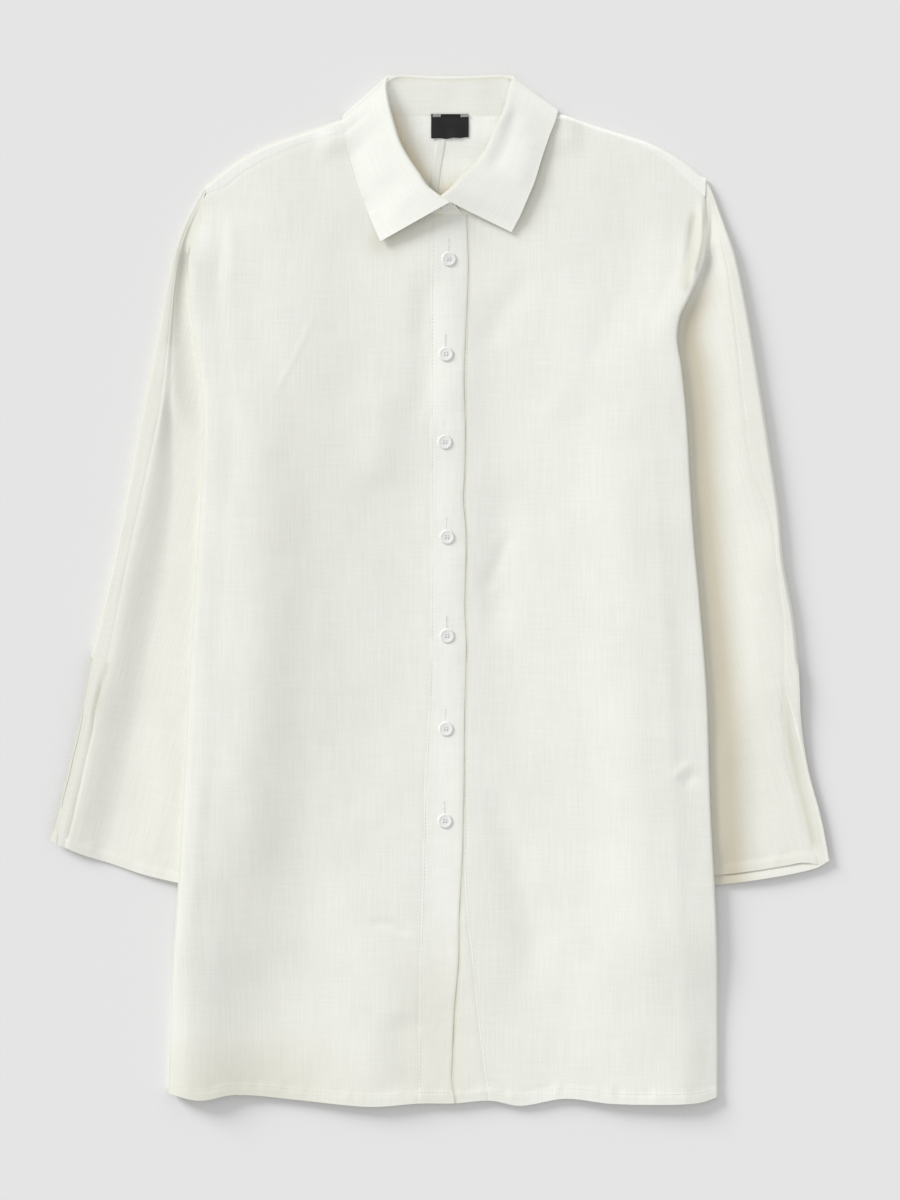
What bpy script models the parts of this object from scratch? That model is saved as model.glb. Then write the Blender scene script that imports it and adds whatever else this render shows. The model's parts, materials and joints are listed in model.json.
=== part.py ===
"""An oversized linen shirt, laid out flat on its back with its sleeves turned down under its sides.

Lengths in the tables are millimetres; the model is made in metres. +Y runs up the shirt, from hem to
collar, and +Z points away from the surface that it lies on. The wearer's right side is at -X. Every
piece is one wall of cloth. Its outer face is worked out first, and the wall is thickened inwards.
"""
import math
from collections import namedtuple

import bpy
from mathutils import Vector

MM = 0.001
WALL = 1.0
SEAM = 0.35
LAYER = 0.3
# Brings the middle of the shirt to the origin
TO_MIDDLE = Vector((-0.1, 1.0, 0.0))

# Heights of the layers above the table
SLEEVE_FLAT_TOP = 2.3
UNDER_BACK = 0.7
COLLAR_UNDER_BACK = 1.6
BAND_TOP = 2.5

# The front opening
PLACKET_WIDTH = 33.0
BUTTON_RADIUS = 6.9
BUTTON_THICK = 2.6
STAND_BUTTON_RADIUS = 5.5
STAND_BUTTON_THICK = 2.0

CLOTH = {
    "linen": (0.87, 0.86, 0.80),
    "label_black": (0.02, 0.02, 0.025),
    "button_clear": (0.80, 0.80, 0.78),
}

SideRow = namedtuple("SideRow", "y edge sleeve_z closed")
RIGHT_SIDE = [
    SideRow(377, 215.5, 4.0, 0.0),
    SideRow(350, 224.5, 4.0, 0.0),
    SideRow(320, 231.0, 4.5, 0.0),
    SideRow(299, 233.5, 4.8, 0.4),
    SideRow(272, 232.5, 5.0, 1.0),
    SideRow(234, 228.0, 5.0, 1.0),
    SideRow(185, 221.0, 5.0, 1.0),
    SideRow(142, 219.5, 5.0, 1.0),
    SideRow(96, 221.5, 5.0, 1.0),
    SideRow(8, 227.0, 5.0, 1.0),
    SideRow(-93, 233.0, 5.0, 1.0),
    SideRow(-183, 238.0, 4.5, 1.0),
    SideRow(-275, 243.0, 4.0, 1.0),
    SideRow(-368, 249.0, 4.0, 1.0),
    SideRow(-468, 252.5, 4.0, 1.0),
]
LEFT_SIDE = [
    SideRow(383, 246.0, 4.0, 0.0),
    SideRow(366, 248.0, 4.0, 0.0),
    SideRow(342, 249.5, 4.0, 0.0),
    SideRow(317, 247.5, 4.5, 0.0),
    SideRow(296, 243.0, 4.5, 0.4),
    SideRow(270, 231.5, 4.5, 1.0),
    SideRow(253, 223.5, 4.5, 1.0),
    SideRow(232, 221.0, 4.5, 1.0),
    SideRow(206, 225.0, 4.5, 1.0),
    SideRow(155, 230.0, 4.5, 1.0),
    SideRow(107, 232.5, 4.5, 1.0),
    SideRow(46, 236.5, 4.5, 1.0),
    SideRow(-8, 241.5, 4.5, 1.0),
    SideRow(-98, 248.5, 4.5, 1.0),
    SideRow(-206, 252.0, 4.5, 1.0),
    SideRow(-278, 256.0, 4.0, 1.0),
    SideRow(-349, 258.5, 4.0, 1.0),
    SideRow(-472, 259.0, 4.0, 1.0),
]

Point = namedtuple("Point", "x y")
HEM = [
    Point(-252.5, -468), Point(-223, -474.5), Point(-190, -469.5), Point(-130, -474.5),
    Point(-65, -480), Point(-20, -477), Point(13, -477), Point(47, -474.5), Point(75, -479.5),
    Point(117, -473), Point(159, -477.5), Point(205, -478.5), Point(242, -477), Point(259, -472),
]
# The top fold of the shoulders, which goes on under the collar
RIGHT_SHOULDER = [
    Point(-216, 377), Point(-203, 388), Point(-189, 398.5), Point(-172.5, 408), Point(-159.5, 414.5),
    Point(-130, 424.5), Point(-100, 435), Point(-88, 438.5), Point(-80, 440.2), Point(-72, 441.5),
    Point(-60, 444.3), Point(-50, 448),
]
LEFT_SHOULDER = [
    Point(246, 383), Point(233, 393.5), Point(214.5, 405.5), Point(191, 417), Point(167, 424.5),
    Point(143.5, 432), Point(125.5, 438), Point(114, 442), Point(101, 443.5), Point(92, 444.5),
    Point(84, 445.5), Point(66, 452),
]
# The seams in front of the shoulders, up to the neck
RIGHT_SHOULDER_SEAM = [
    Point(-217.5, 367.5), Point(-199, 374), Point(-185.5, 385.5), Point(-162, 399.5),
    Point(-130, 413), Point(-100, 421.5), Point(-80.5, 426),
]
LEFT_SHOULDER_SEAM = [
    Point(247.5, 365), Point(237.5, 373.5), Point(214.5, 395), Point(186.5, 411.5),
    Point(149.5, 423.5), Point(115, 435.8), Point(100, 437.2),
]
BACK_NECK_Y = 439.5
BACK_CENTRE = [
    Point(3.3, BACK_NECK_Y), Point(1.4, 418), Point(-4.6, 377), Point(-8, 300), Point(-8, 0),
    Point(-8, -300), Point(-6, -474),
]
PLACKET_SEAM = [
    Point(-7.5, 350.5), Point(-8, 310), Point(-8.8, 256), Point(-9, 80), Point(-9.5, -90),
    Point(-14.8, -193), Point(-16, -259), Point(-18, -325), Point(-19.6, -412), Point(-20.3, -478),
]
PLACKET_EDGE = [
    Point(24.6, 349.5), Point(25.7, 328), Point(26.5, 300), Point(25.4, 267), Point(23.6, 225),
    Point(22.6, 195), Point(23.7, 150), Point(23.2, 110), Point(22.0, 84), Point(24.4, 50),
    Point(23.3, -17), Point(24.6, -52), Point(23.0, -120), Point(22.4, -190), Point(21.0, -248),
    Point(18.1, -300), Point(17.4, -345), Point(13.5, -391), Point(11.6, -435), Point(11.2, -456),
    Point(14.4, -477),
]
BAND_SEAM = [
    Point(24, 350), Point(24, 260), Point(22, 100), Point(21.8, -100), Point(22.3, -250),
    Point(25.6, -303), Point(30.2, -345), Point(35.8, -401), Point(40.1, -435), Point(45.5, -475.5),
]

# The broad folds of the front: a soft ridge runs from each top point down to the hem
Fold = namedtuple("Fold", "name top_x top_y top_height foot_x foot_height spread")
FOLDS = [
    Fold("right side", -196, 300, 5.5, -226, 8.0, 40),
    Fold("right middle", -78, 60, 0.5, -69, 5.5, 38),
    Fold("placket edge", 24, 270, 1.2, 58, 2.6, 24),
    Fold("left middle", 125, 190, 1.2, 150, 1.6, 45),
    Fold("left side", 203, 290, 7.0, 212, 8.5, 44),
]

SleeveRow = namedtuple("SleeveRow", "x y seam wrap fold_z valley valley_z")
RIGHT_SLEEVE = [
    SleeveRow(-218.3, 376.8, 4.5, 4.5, 5.0, 6, 5.0),
    SleeveRow(-229, 359, 6, 6, 6.5, 8, 5.0),
    SleeveRow(-241, 333, 9, 9, 7.5, 10, 4.8),
    SleeveRow(-250.5, 300, 13, 13, 8.0, 14, 4.5),
    SleeveRow(-262, 242.5, 18, 18, 8.5, 19, 4.5),
    SleeveRow(-274, 184, 22, 22, 9.0, 24, 4.5),
    SleeveRow(-286, 124, 20, 20, 9.0, 28, 4.5),
    SleeveRow(-302.5, 37, 16, 16, 9.0, 36, 4.2),
    SleeveRow(-321.5, -47, 18, 18, 9.0, 44, 4.0),
    SleeveRow(-325.5, -68, 17, 17, 8.5, 46, 4.0),
    SleeveRow(-330, -93, 13, 4, 8.0, 47, 4.0),
    SleeveRow(-336, -124, 14, 4, 7.5, 48, 4.0),
    SleeveRow(-344, -162, 14, 3, 7.0, 48, 4.0),
    SleeveRow(-353, -195, 15, 4, 6.5, 47, 4.0),
    SleeveRow(-363, -233, 15, 9, 6.0, 46, 4.0),
]
LEFT_SLEEVE = [
    SleeveRow(248.3, 382.5, 4.5, 4.5, 5.0, 6, 5.0),
    SleeveRow(254, 374, 5.5, 5.5, 6.0, 7, 5.0),
    SleeveRow(267.5, 335, 15, 15, 8.0, 19, 5.0),
    SleeveRow(275.5, 310.5, 17, 17, 8.5, 28, 4.8),
    SleeveRow(288, 250.5, 20, 20, 9.0, 42, 4.5),
    SleeveRow(297, 196, 23, 23, 9.0, 52, 4.5),
    SleeveRow(307.5, 130, 24, 24, 9.0, 56, 4.5),
    SleeveRow(316, 72, 10, 10, 9.0, 60, 4.2),
    SleeveRow(320, 27, 9, 9, 9.0, 60, 4.2),
    SleeveRow(329, -23, 12, 12, 9.0, 62, 4.0),
    SleeveRow(334.5, -78, 17, 17, 8.5, 62, 4.0),
    SleeveRow(336.5, -120, 19, 8, 8.0, 60, 4.0),
    SleeveRow(343, -165, 19, 3, 7.5, 60, 4.0),
    SleeveRow(355, -211, 18, 3, 7.0, 58, 4.0),
    SleeveRow(363.2, -252, 12, 3, 6.5, 50, 4.0),
]
# The armhole, the hidden underarm seam and the cuff of each sleeve
RIGHT_CAP = [Point(-218.3, 376.8), Point(-219.3, 368), Point(-225.4, 350), Point(-232.2, 320), Point(-234.2, 300),
             Point(-229, 281)]
LEFT_CAP = [Point(248.3, 382.5), Point(249.2, 366), Point(250, 342), Point(248, 317), Point(244, 298),
            Point(236, 281)]
RIGHT_UNDERARM = [Point(-229, 281), Point(-229.5, 262), Point(-223, 235), Point(-197, 157),
                  Point(-186, 83), Point(-188, -103), Point(-193, -284)]
LEFT_UNDERARM = [Point(236, 281), Point(222, 251), Point(210, 226), Point(198, 176),
                 Point(191, 83), Point(198, -103), Point(205, -277)]
RIGHT_CUFF = [Point(-363, -233), Point(-336, -246), Point(-307, -255.5), Point(-270, -267.5),
              Point(-193, -284)]
LEFT_CUFF = [Point(363.2, -252), Point(350, -256), Point(307, -268), Point(256, -275),
             Point(205, -277)]
CUFF_STEP = {-1: 0.6, 1: 8.0}

# Sections of the collar, from the front edge round to the back of the neck. The roll is where the
# stand turns over into the leaf, and turn is how far that has gone from facing up to facing down.
Section = namedtuple("Section", "neck_x neck_y roll_x roll_y roll_z edge_x edge_y lift round turn")
RIGHT_COLLAR = [
    Section(1.4, 350.2, 0.3, 361.8, 11.6, -55, 323.5, 3.5, 3.2, 0),
    Section(-18, 351.5, -11.5, 371.5, 11.8, -63, 341.5, 1.8, 3.0, 0),
    Section(-37, 354.5, -20.5, 384.5, 12.0, -68.5, 355.5, 1.0, 2.8, 0),
    Section(-54.5, 365.6, -30.5, 399.5, 12.0, -74, 369.5, 0.9, 2.6, 0),
    Section(-67.5, 386.4, -38.5, 415, 12.0, -79.5, 387.5, 0.9, 2.4, 0),
    Section(-76.4, 408.2, -45, 436, 11.6, -85, 407, 0.9, 2.4, 0),
    Section(-79, 418, -49, 453, 11.0, -88, 422, 0.9, 2.3, 5),
    Section(-78.6, 430, -50.5, 466, 9.5, -90.2, 433, 1.2, 2.2, 40),
    Section(-75.4, 441.8, -49, 474, 8.0, -89, 442, 0, 2.2, 90),
    Section(-73, 441.6, -44.5, 476, 6.5, -80, 437, 0, 2.2, 140),
    Section(-57, 440.5, -35, 476.8, 5.4, -57, 431, 0, 2.2, 180),
    Section(-28, 440.2, -16, 476.0, 5.0, -27, 430, 0, 2.2, 180),
]
LEFT_COLLAR = [
    Section(14.5, 350.2, 7.4, 362.6, 10.2, 67, 332, 3.5, 3.2, 0),
    Section(24, 350.4, 13, 372, 10.8, 71, 339.5, 2.4, 3.0, 0),
    Section(38, 351.6, 21.5, 382, 11.4, 75, 347, 1.2, 2.8, 0),
    Section(56.5, 357.6, 31.5, 391, 12.0, 81, 361, 0.9, 2.6, 0),
    Section(74, 372.4, 44, 407, 12.0, 88.5, 379, 0.9, 2.4, 0),
    Section(86, 396.2, 53, 427.5, 11.8, 95.5, 402, 0.9, 2.4, 0),
    Section(94.4, 416, 61, 443, 11.2, 102, 421, 0.9, 2.3, 5),
    Section(97.4, 434, 66, 463, 9.5, 108, 436.5, 1.2, 2.2, 40),
    Section(95.0, 444.6, 69.5, 474.5, 8.0, 109.5, 447, 0, 2.2, 90),
    Section(92.5, 444.4, 65, 476.5, 6.5, 100, 441, 0, 2.2, 140),
    Section(75, 441.2, 55, 476.8, 5.4, 75, 433, 0, 2.2, 180),
    Section(40, 440.2, 30, 475.8, 5.0, 40, 431, 0, 2.2, 180),
]
BACK_COLLAR = Section(5, 440.2, 6, 475.3, 4.9, 5, 430, 0, 2.2, 180)
# The ends of the stand go on past the leaves: the right one laps over the left one
OVER_END = Section(20.8, 350.2, 13.0, 359.4, 10.6, 40, 340, 0, 2.2, 0)
UNDER_END = Section(-6.0, 350.2, -5.5, 361.0, 8.4, -40, 340, 0, 2.2, 0)

BUTTON_PLACES = [Point(8.8, 307.4), Point(6.0, 219.0), Point(5.1, 137.2), Point(7.0, 48.8),
                 Point(7.0, -43.2), Point(6.0, -129.7), Point(5.1, -215.3)]
STAND_BUTTON_PLACE = Point(7.0, 356.4)
LABEL_LEFT, LABEL_RIGHT, LABEL_TOP, LABEL_FOOT = -7.6, 28.4, 442.0, 419.4


def smooth(value):
    """An S-curve from 0 to 1."""
    value = min(1.0, max(0.0, value))
    return value * value * (3 - 2 * value)


def mix(low, high, share):
    return low + (high - low) * share


def hermite(p0, p1, p2, p3, t0, t1, t2, t3, t):
    """A smooth curve from p1 at t1 to p2 at t2 that leans on its neighbours."""
    m1 = (p2 - p0) / (t2 - t0)
    m2 = (p3 - p1) / (t3 - t1)
    span = t2 - t1
    s = (t - t1) / span
    return (p1 * (2 * s**3 - 3 * s**2 + 1) + m1 * span * (s**3 - 2 * s**2 + s)
            + p2 * (3 * s**2 - 2 * s**3) + m2 * span * (s**3 - s**2))


def read(keys, values, key):
    """Reads a smooth curve through the values at a key."""
    if keys[0] > keys[-1]:
        keys = keys[::-1]
        values = values[::-1]
    key = min(keys[-1], max(keys[0], key))
    last = len(keys) - 2
    i = 0
    while i < last and key > keys[i + 1]:
        i += 1
    before = max(0, i - 1)
    after = min(len(keys) - 1, i + 2)
    return hermite(values[before], values[i], values[i + 1], values[after],
                   keys[before], keys[i], keys[i + 1], keys[after], key)


def column(rows, key, name, at):
    """Reads one named column of a table, smoothly between its rows."""
    return read([getattr(row, key) for row in rows], [getattr(row, name) for row in rows], at)


class Line:
    """A smooth line through points, read by the share of its length."""

    def __init__(self, points):
        self.points = points
        self.lengths = [0.0]
        for a, b in zip(points, points[1:]):
            self.lengths.append(self.lengths[-1] + math.dist(a, b))

    def at(self, share):
        travelled = share * self.lengths[-1]
        return tuple(read(self.lengths, [p[axis] for p in self.points], travelled)
                     for axis in range(len(self.points[0])))


def patch(foot, top, first, last, u, v):
    """The point of a panel that hangs between four edges: u goes first to last, v foot to top."""
    f, t, i, o = foot(u), top(u), first(v), last(v)
    corners = [foot(0), foot(1), top(0), top(1)]
    place = []
    for axis in range(2):
        level = mix(mix(corners[0][axis], corners[1][axis], u),
                    mix(corners[2][axis], corners[3][axis], u), v)
        place.append(mix(f[axis], t[axis], v) + mix(i[axis], o[axis], u) - level)
    return place


def hem_y(x):
    return read([p.x for p in HEM], [p.y for p in HEM], x)


def side_of(x):
    return (RIGHT_SIDE, -1) if x < 0 else (LEFT_SIDE, 1)


def inside_edge(x, y):
    """How far a point lies in from the edge of the body beside it."""
    rows, sign = side_of(x)
    return column(rows, "y", "edge", y) - sign * x


def hidden_width(x, y):
    """How far a sleeve reaches in under the body at this height."""
    underarm = RIGHT_UNDERARM if x < 0 else LEFT_UNDERARM
    rows, sign = side_of(x)
    if y > underarm[0].y:
        return 0.0
    inner = read([p.y for p in underarm], [p.x for p in underarm], y)
    return max(0.0, column(rows, "y", "edge", y) - sign * inner)


def sleeve_under(x, y):
    """Top of the sleeve where the body lies on it: it swells at the edge and is flat further in."""
    rows, sign = side_of(x)
    edge_z = column(rows, "y", "sleeve_z", y)
    return SLEEVE_FLAT_TOP + (edge_z - SLEEVE_FLAT_TOP) * (1 - smooth(inside_edge(x, y) / 30))


def lifted_by_sleeve(y, underarm):
    """1 where a sleeve lies under the body, and 0 above the underarm and below the cuff."""
    return smooth((underarm[0].y + 66 - y) / 30) * smooth((y - underarm[-1].y + 125) / 90)


def back_under(x, y):
    """Underside of the back, which the sleeves and the collar lift off the table."""
    underarm = RIGHT_UNDERARM if x < 0 else LEFT_UNDERARM
    inside = inside_edge(x, y)
    fade = 1 - smooth((inside - hidden_width(x, y) - 8) / 34)
    over_sleeve = (sleeve_under(x, y) + UNDER_BACK) * lifted_by_sleeve(y, underarm) * fade
    shoulder = RIGHT_SHOULDER if x < 0 else LEFT_SHOULDER
    reach_y = min(BACK_NECK_Y, read([p.x for p in shoulder], [p.y for p in shoulder], x))
    over_collar = COLLAR_UNDER_BACK * smooth((y - reach_y + 40) / 24) * smooth((128 - abs(x - 10)) / 20)
    return max(over_sleeve, over_collar)


def folds(x, y):
    """Height that the broad folds add to the front."""
    height = 0.0
    for fold in FOLDS:
        down = (fold.top_y - y) / (fold.top_y - hem_y(fold.foot_x))
        share = min(1.0, max(0.0, down))
        centre = mix(fold.top_x, fold.foot_x, share)
        size = mix(fold.top_height, fold.foot_height, share) * smooth(1 + down * 5)
        height += size * math.exp(-((x - centre) / fold.spread) ** 2)
    return height


def front_top(x, y):
    """Top of the front at the button band's level."""
    air = 1.2 + 1.7 * smooth((y - 290) / 110)
    return BAND_TOP + back_under(x, y) + air + folds(x, y)


def placket_top(x, y):
    return front_top(x, y) + WALL + LAYER


def right_front_top(x, y):
    """The right front comes up to the placket, which lies one layer higher."""
    seam_x = read([p.y for p in PLACKET_SEAM], [p.x for p in PLACKET_SEAM], y)
    return front_top(x, y) + (WALL + LAYER) * (1 - smooth((seam_x - x) / 60))


def turned_down(x, y, top, rise, low_side):
    """Lets a panel run round to the side seam: rise goes from 0 at the seam to 1 further in."""
    rows, sign = side_of(x)
    closed = smooth(column(rows, "y", "closed", y))
    edge_x = sign * column(rows, "y", "edge", y)
    seam_z = mix(back_under(edge_x, y), front_top(edge_x, y), 0.5)
    at_seam = seam_z - SEAM / 2 if low_side else seam_z + SEAM / 2
    edge_z = mix(top, at_seam, closed)
    return mix(edge_z, top, rise)


def spread(count, low=0.0, high=1.0):
    return [mix(low, high, k / (count - 1)) for k in range(count)]


def material_of(slot):
    found = bpy.data.materials.get(slot)
    if found:
        return found
    material = bpy.data.materials.new(slot)
    material.use_nodes = True
    shader = material.node_tree.nodes["Principled BSDF"]
    shader.inputs["Base Color"].default_value = (*CLOTH[slot], 1)
    shader.inputs["Roughness"].default_value = 0.35 if slot == "button_clear" else 0.9
    shader.inputs["Metallic"].default_value = 0.0
    return material


def cloth(name, across, along, place, slot="linen", flip=False, thick=WALL):
    """One piece of cloth: a grid whose points are placed by place(u, v), thickened inwards."""
    bpy.ops.mesh.primitive_grid_add(x_subdivisions=len(across) - 1, y_subdivisions=len(along) - 1,
                                    size=1)
    piece = bpy.context.object
    piece.name = name
    piece.data.name = name
    for vertex in piece.data.vertices:
        u = across[round((vertex.co.x + 0.5) * (len(across) - 1))]
        v = along[round((vertex.co.y + 0.5) * (len(along) - 1))]
        vertex.co = (Vector(place(u, v)) + TO_MIDDLE) * MM
    if flip:
        piece.data.flip_normals()
    piece.data.shade_smooth()
    wall = piece.modifiers.new("wall", "SOLIDIFY")
    wall.thickness = thick * MM
    wall.offset = -1
    wall.use_even_offset = True
    wall.use_quality_normals = True
    piece.data.materials.append(material_of(slot))
    move_to(piece, shirt)
    return piece


def move_to(piece, collection):
    for owner in list(piece.users_collection):
        owner.objects.unlink(piece)
    collection.objects.link(piece)


# Columns of a body panel: it runs round to the side seam, straight at first, and then spreads out
Turn = namedtuple("Turn", "inset rise")
TURNS = [Turn(0.0, 0.0), Turn(0.04, 0.3), Turn(0.7, 0.56), Turn(3.0, 0.84), Turn(8.0, 0.975),
         Turn(15.0, 1.0)]
OPEN_INSETS = [0.0, 1.2, 2.6, 5.0, 9.0, 15.0]
BODY_WIDTH = 238.0
# Share of a panel's top edge that the shoulder seam takes, and the neckline the rest
SHOULDER_SHARE = 0.6
SHOULDER_COLUMNS = [0.15, 0.26, 0.38, 0.49, SHOULDER_SHARE]
FRONT_NECK_COLUMNS = [0.65, 0.71, 0.77, 0.83, 0.89, 0.95, 1.0]
BACK_NECK_COLUMNS = [0.63, 0.66, 0.7, 0.77, 0.86, 1.0]
BODY_ROWS = [0, 0.045, 0.09, 0.13, 0.17, 0.21, 0.28, 0.37, 0.46, 0.55, 0.64, 0.72, 0.79, 0.84, 0.875,
             0.905, 0.935, 0.965, 1.0]
# Rows of the back past the flat: from 1 to 2 it turns over the shoulder, and from 2 to 3 it lies on
# the front
WRAP_ROWS = [1.2, 1.4, 1.6, 1.8, 2.0, 3.0]

# The round where the back turns over the shoulder: its reach on the table and its length in cloth
BEND_REACH = 4.0
BEND_LENGTH = 11.0


def turn_columns():
    """The columns that run round the side, numbered below nought so that they keep a fixed inset."""
    return [-float(k) for k in range(len(TURNS), 0, -1)]


def body_column(number, y, rows):
    """How far in a column lies, as a share of the width, and how far the panel has risen there."""
    if number > 0:
        return number, 1.0
    k = len(TURNS) + int(round(number))
    closed = smooth(column(rows, "y", "closed", y))
    inset = mix(OPEN_INSETS[k], TURNS[k].inset, closed)
    return inset / BODY_WIDTH, TURNS[k].rise


def body_side(rows, sign, tip):
    """The edge of the body from hem to shoulder."""
    foot = Point(sign * rows[-1].edge, hem_y(sign * rows[-1].edge))
    between = [Point(sign * row.edge, row.y) for row in reversed(rows[:-1]) if row.y < tip[1] - 4]
    return Line([foot] + between + [tip])


def hem_between(start, end):
    def at(u):
        x = mix(start, end, u)
        return (x, hem_y(x))
    return at


def neck_point(sections, share):
    """A point of the neckline, a seam's width outside the foot of the stand."""
    open_rows = [row for row in sections if row.turn <= 40]
    place = (1 - share) * (len(open_rows) - 1)
    keys = list(range(len(open_rows)))
    x = read(keys, [row.neck_x for row in open_rows], place)
    y = read(keys, [row.neck_y for row in open_rows], place)
    away = math.hypot(x - NECK_CENTRE.x, y - NECK_CENTRE.y)
    return (x + 2.8 * SEAM * (x - NECK_CENTRE.x) / away, y + 2.8 * SEAM * (y - NECK_CENTRE.y) / away)


def seam_point(seam, share):
    x = mix(seam[0].x, seam[-1].x, share)
    return x, read([p.x for p in seam], [p.y for p in seam], x)


def front_panel(name, rows, sign, seam, sections, centre, height):
    side = body_side(rows, sign, seam[0])
    middle = Line([Point(p.x + sign * SEAM, p.y) for p in reversed(centre)])
    foot = hem_between(side.points[0].x, middle.points[0][0])

    def top(u):
        if u <= SHOULDER_SHARE:
            return seam_point(seam, u / SHOULDER_SHARE)
        share = (u - SHOULDER_SHARE) / (1 - SHOULDER_SHARE)
        start, point, end = neck_point(sections, 0), neck_point(sections, share), neck_point(sections, 1)
        lead = (1 - share) ** 3
        close = share ** 3
        return (point[0] + (seam[-1].x - start[0]) * lead + (middle.points[-1][0] - end[0]) * close,
                point[1] + (seam[-1].y - start[1]) * lead + (middle.points[-1][1] - end[1]) * close)

    def place(number, v):
        u, rise = body_column(number, side.at(v)[1], rows)
        x, y = patch(foot, top, side.at, middle.at, u, v)
        return (x, y, turned_down(x, y, height(x, y), rise, False))

    cloth(name, turn_columns() + SHOULDER_COLUMNS + FRONT_NECK_COLUMNS, BODY_ROWS, place,
          flip=sign > 0)


def shoulder_fold(x, sign):
    line = RIGHT_SHOULDER if sign < 0 else LEFT_SHOULDER
    return read([p.x for p in line], [p.y for p in line], x)


def folded_over(x, y, sign):
    """Where a point of the unfolded back comes to lie once the back is turned over the shoulder."""
    fold_y = shoulder_fold(x, sign)
    past = y - (fold_y - BEND_REACH)
    low = back_under(x, y - max(0.0, past))
    if past <= 0:
        return (x, y, low)
    angle = math.pi * min(1.0, past / BEND_LENGTH)
    inset = BEND_REACH * (1 - math.sin(angle)) + max(0.0, past - BEND_LENGTH)
    folded_y = fold_y - inset
    high = right_front_top(x, folded_y) if sign < 0 else front_top(x, folded_y)
    return (x, folded_y, mix(low, high, (1 - math.cos(angle)) / 2))


def shoulder_lap(seam, share, sign):
    """How far the back lies on over the front, past the round of the shoulder."""
    x, y = seam_point(seam, share)
    return max(0.8, shoulder_fold(x, sign) - y - 1.9 * SEAM - BEND_REACH)


# The neckline of the back, unfolded, from the neck points to the centre seam
BACK_NECK = {
    -1: [Point(-79.3, 444), Point(-76.8, 440.9), Point(-73.5, 439.3), Point(-67, 438.8),
         Point(-57, 439.2)],
    1: [Point(98.6, 448), Point(96.6, 444.6), Point(93.5, 441.6), Point(88, 440.2), Point(76, 439.6)],
}


def back_panel(name, rows, sign):
    seam = RIGHT_SHOULDER_SEAM if sign < 0 else LEFT_SHOULDER_SEAM
    centre_x = BACK_CENTRE[0].x + sign * SEAM / 2
    neck_x, neck_y = seam_point(seam, 1)
    neck_top = shoulder_fold(neck_x, sign) - BEND_REACH + BEND_LENGTH + shoulder_lap(seam, 1, sign)
    around = Line([Point(neck_x, neck_top)] + BACK_NECK[sign] + [Point(centre_x, BACK_NECK_Y)])

    def edge(u):
        return around.at((u - SHOULDER_SHARE) / (1 - SHOULDER_SHARE))

    def base(u):
        """The last row that lies flat on the table."""
        if u <= SHOULDER_SHARE:
            x, y = seam_point(seam, u / SHOULDER_SHARE)
            return (x, shoulder_fold(x, sign) - BEND_REACH)
        x, y = edge(u)
        return (x, min(y - 2.0, shoulder_fold(x, sign) - BEND_REACH))

    side = body_side(rows, sign, Point(*base(0)))
    middle = Line([Point(p.x + sign * SEAM / 2, p.y) for p in reversed(BACK_CENTRE[1:])]
                  + [Point(*base(1))])
    foot = hem_between(side.points[0].x, middle.points[0][0])
    back_hem_lift = 2.5
    # The same rows as the front's up to where its side ends, so that the two meet along the seam
    shared = body_side(rows, sign, seam[0]).lengths[-1] / side.lengths[-1]
    flat_rows = [v * shared for v in BODY_ROWS] + [1.0]

    def place(number, v):
        u, rise = body_column(number, side.at(min(v, 1))[1], rows)
        if v <= 1:
            x, y = patch(foot, base, side.at, middle.at, u, v)
            y += back_hem_lift * (1 - v) ** 8
            return (x, y, turned_down(x, y, back_under(x, y), rise, True))
        x, y = base(u)
        if u > SHOULDER_SHARE:
            end_x, end_y = edge(u)
            return folded_over(x, mix(y, end_y, (v - 1) / 2), sign)
        lap = shoulder_lap(seam, u / SHOULDER_SHARE, sign)
        past = BEND_LENGTH * min(1.0, v - 1) + lap * max(0.0, v - 2)
        return folded_over(x, y + past, sign)

    cloth(name, turn_columns() + SHOULDER_COLUMNS + BACK_NECK_COLUMNS, flat_rows + WRAP_ROWS, place,
          flip=sign < 0)


def band(name, seam_line, other_edge, seam_first, height):
    """A band down the front: its seam follows the panel beside it, and its other edge is free."""
    def place(u, v):
        seam_x, y = seam_line.at(v)
        x = mix(seam_x, other_edge(y), u if seam_first else 1 - u)
        y += (hem_y(x) - hem_y(seam_x)) * (1 - v) ** 8
        return (x, y - 0.9 * v ** 20, height(x, y))
    cloth(name, spread(5), BODY_ROWS, place)


def line_x(line):
    return lambda y: read([p.y for p in line], [p.x for p in line], y)


SLEEVE_COLUMNS = [0.0, 0.01, 0.07, 0.14, 0.23, 0.34, 0.46, 0.58, 0.72, 0.86, 1.0]
SLEEVE_ROWS = spread(11, 0.0, 0.77) + spread(6, 0.81, 1.0)
FLOOR_COLUMNS = 5
BEND_COLUMNS = 6
CAP_GAP = 0.8


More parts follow.
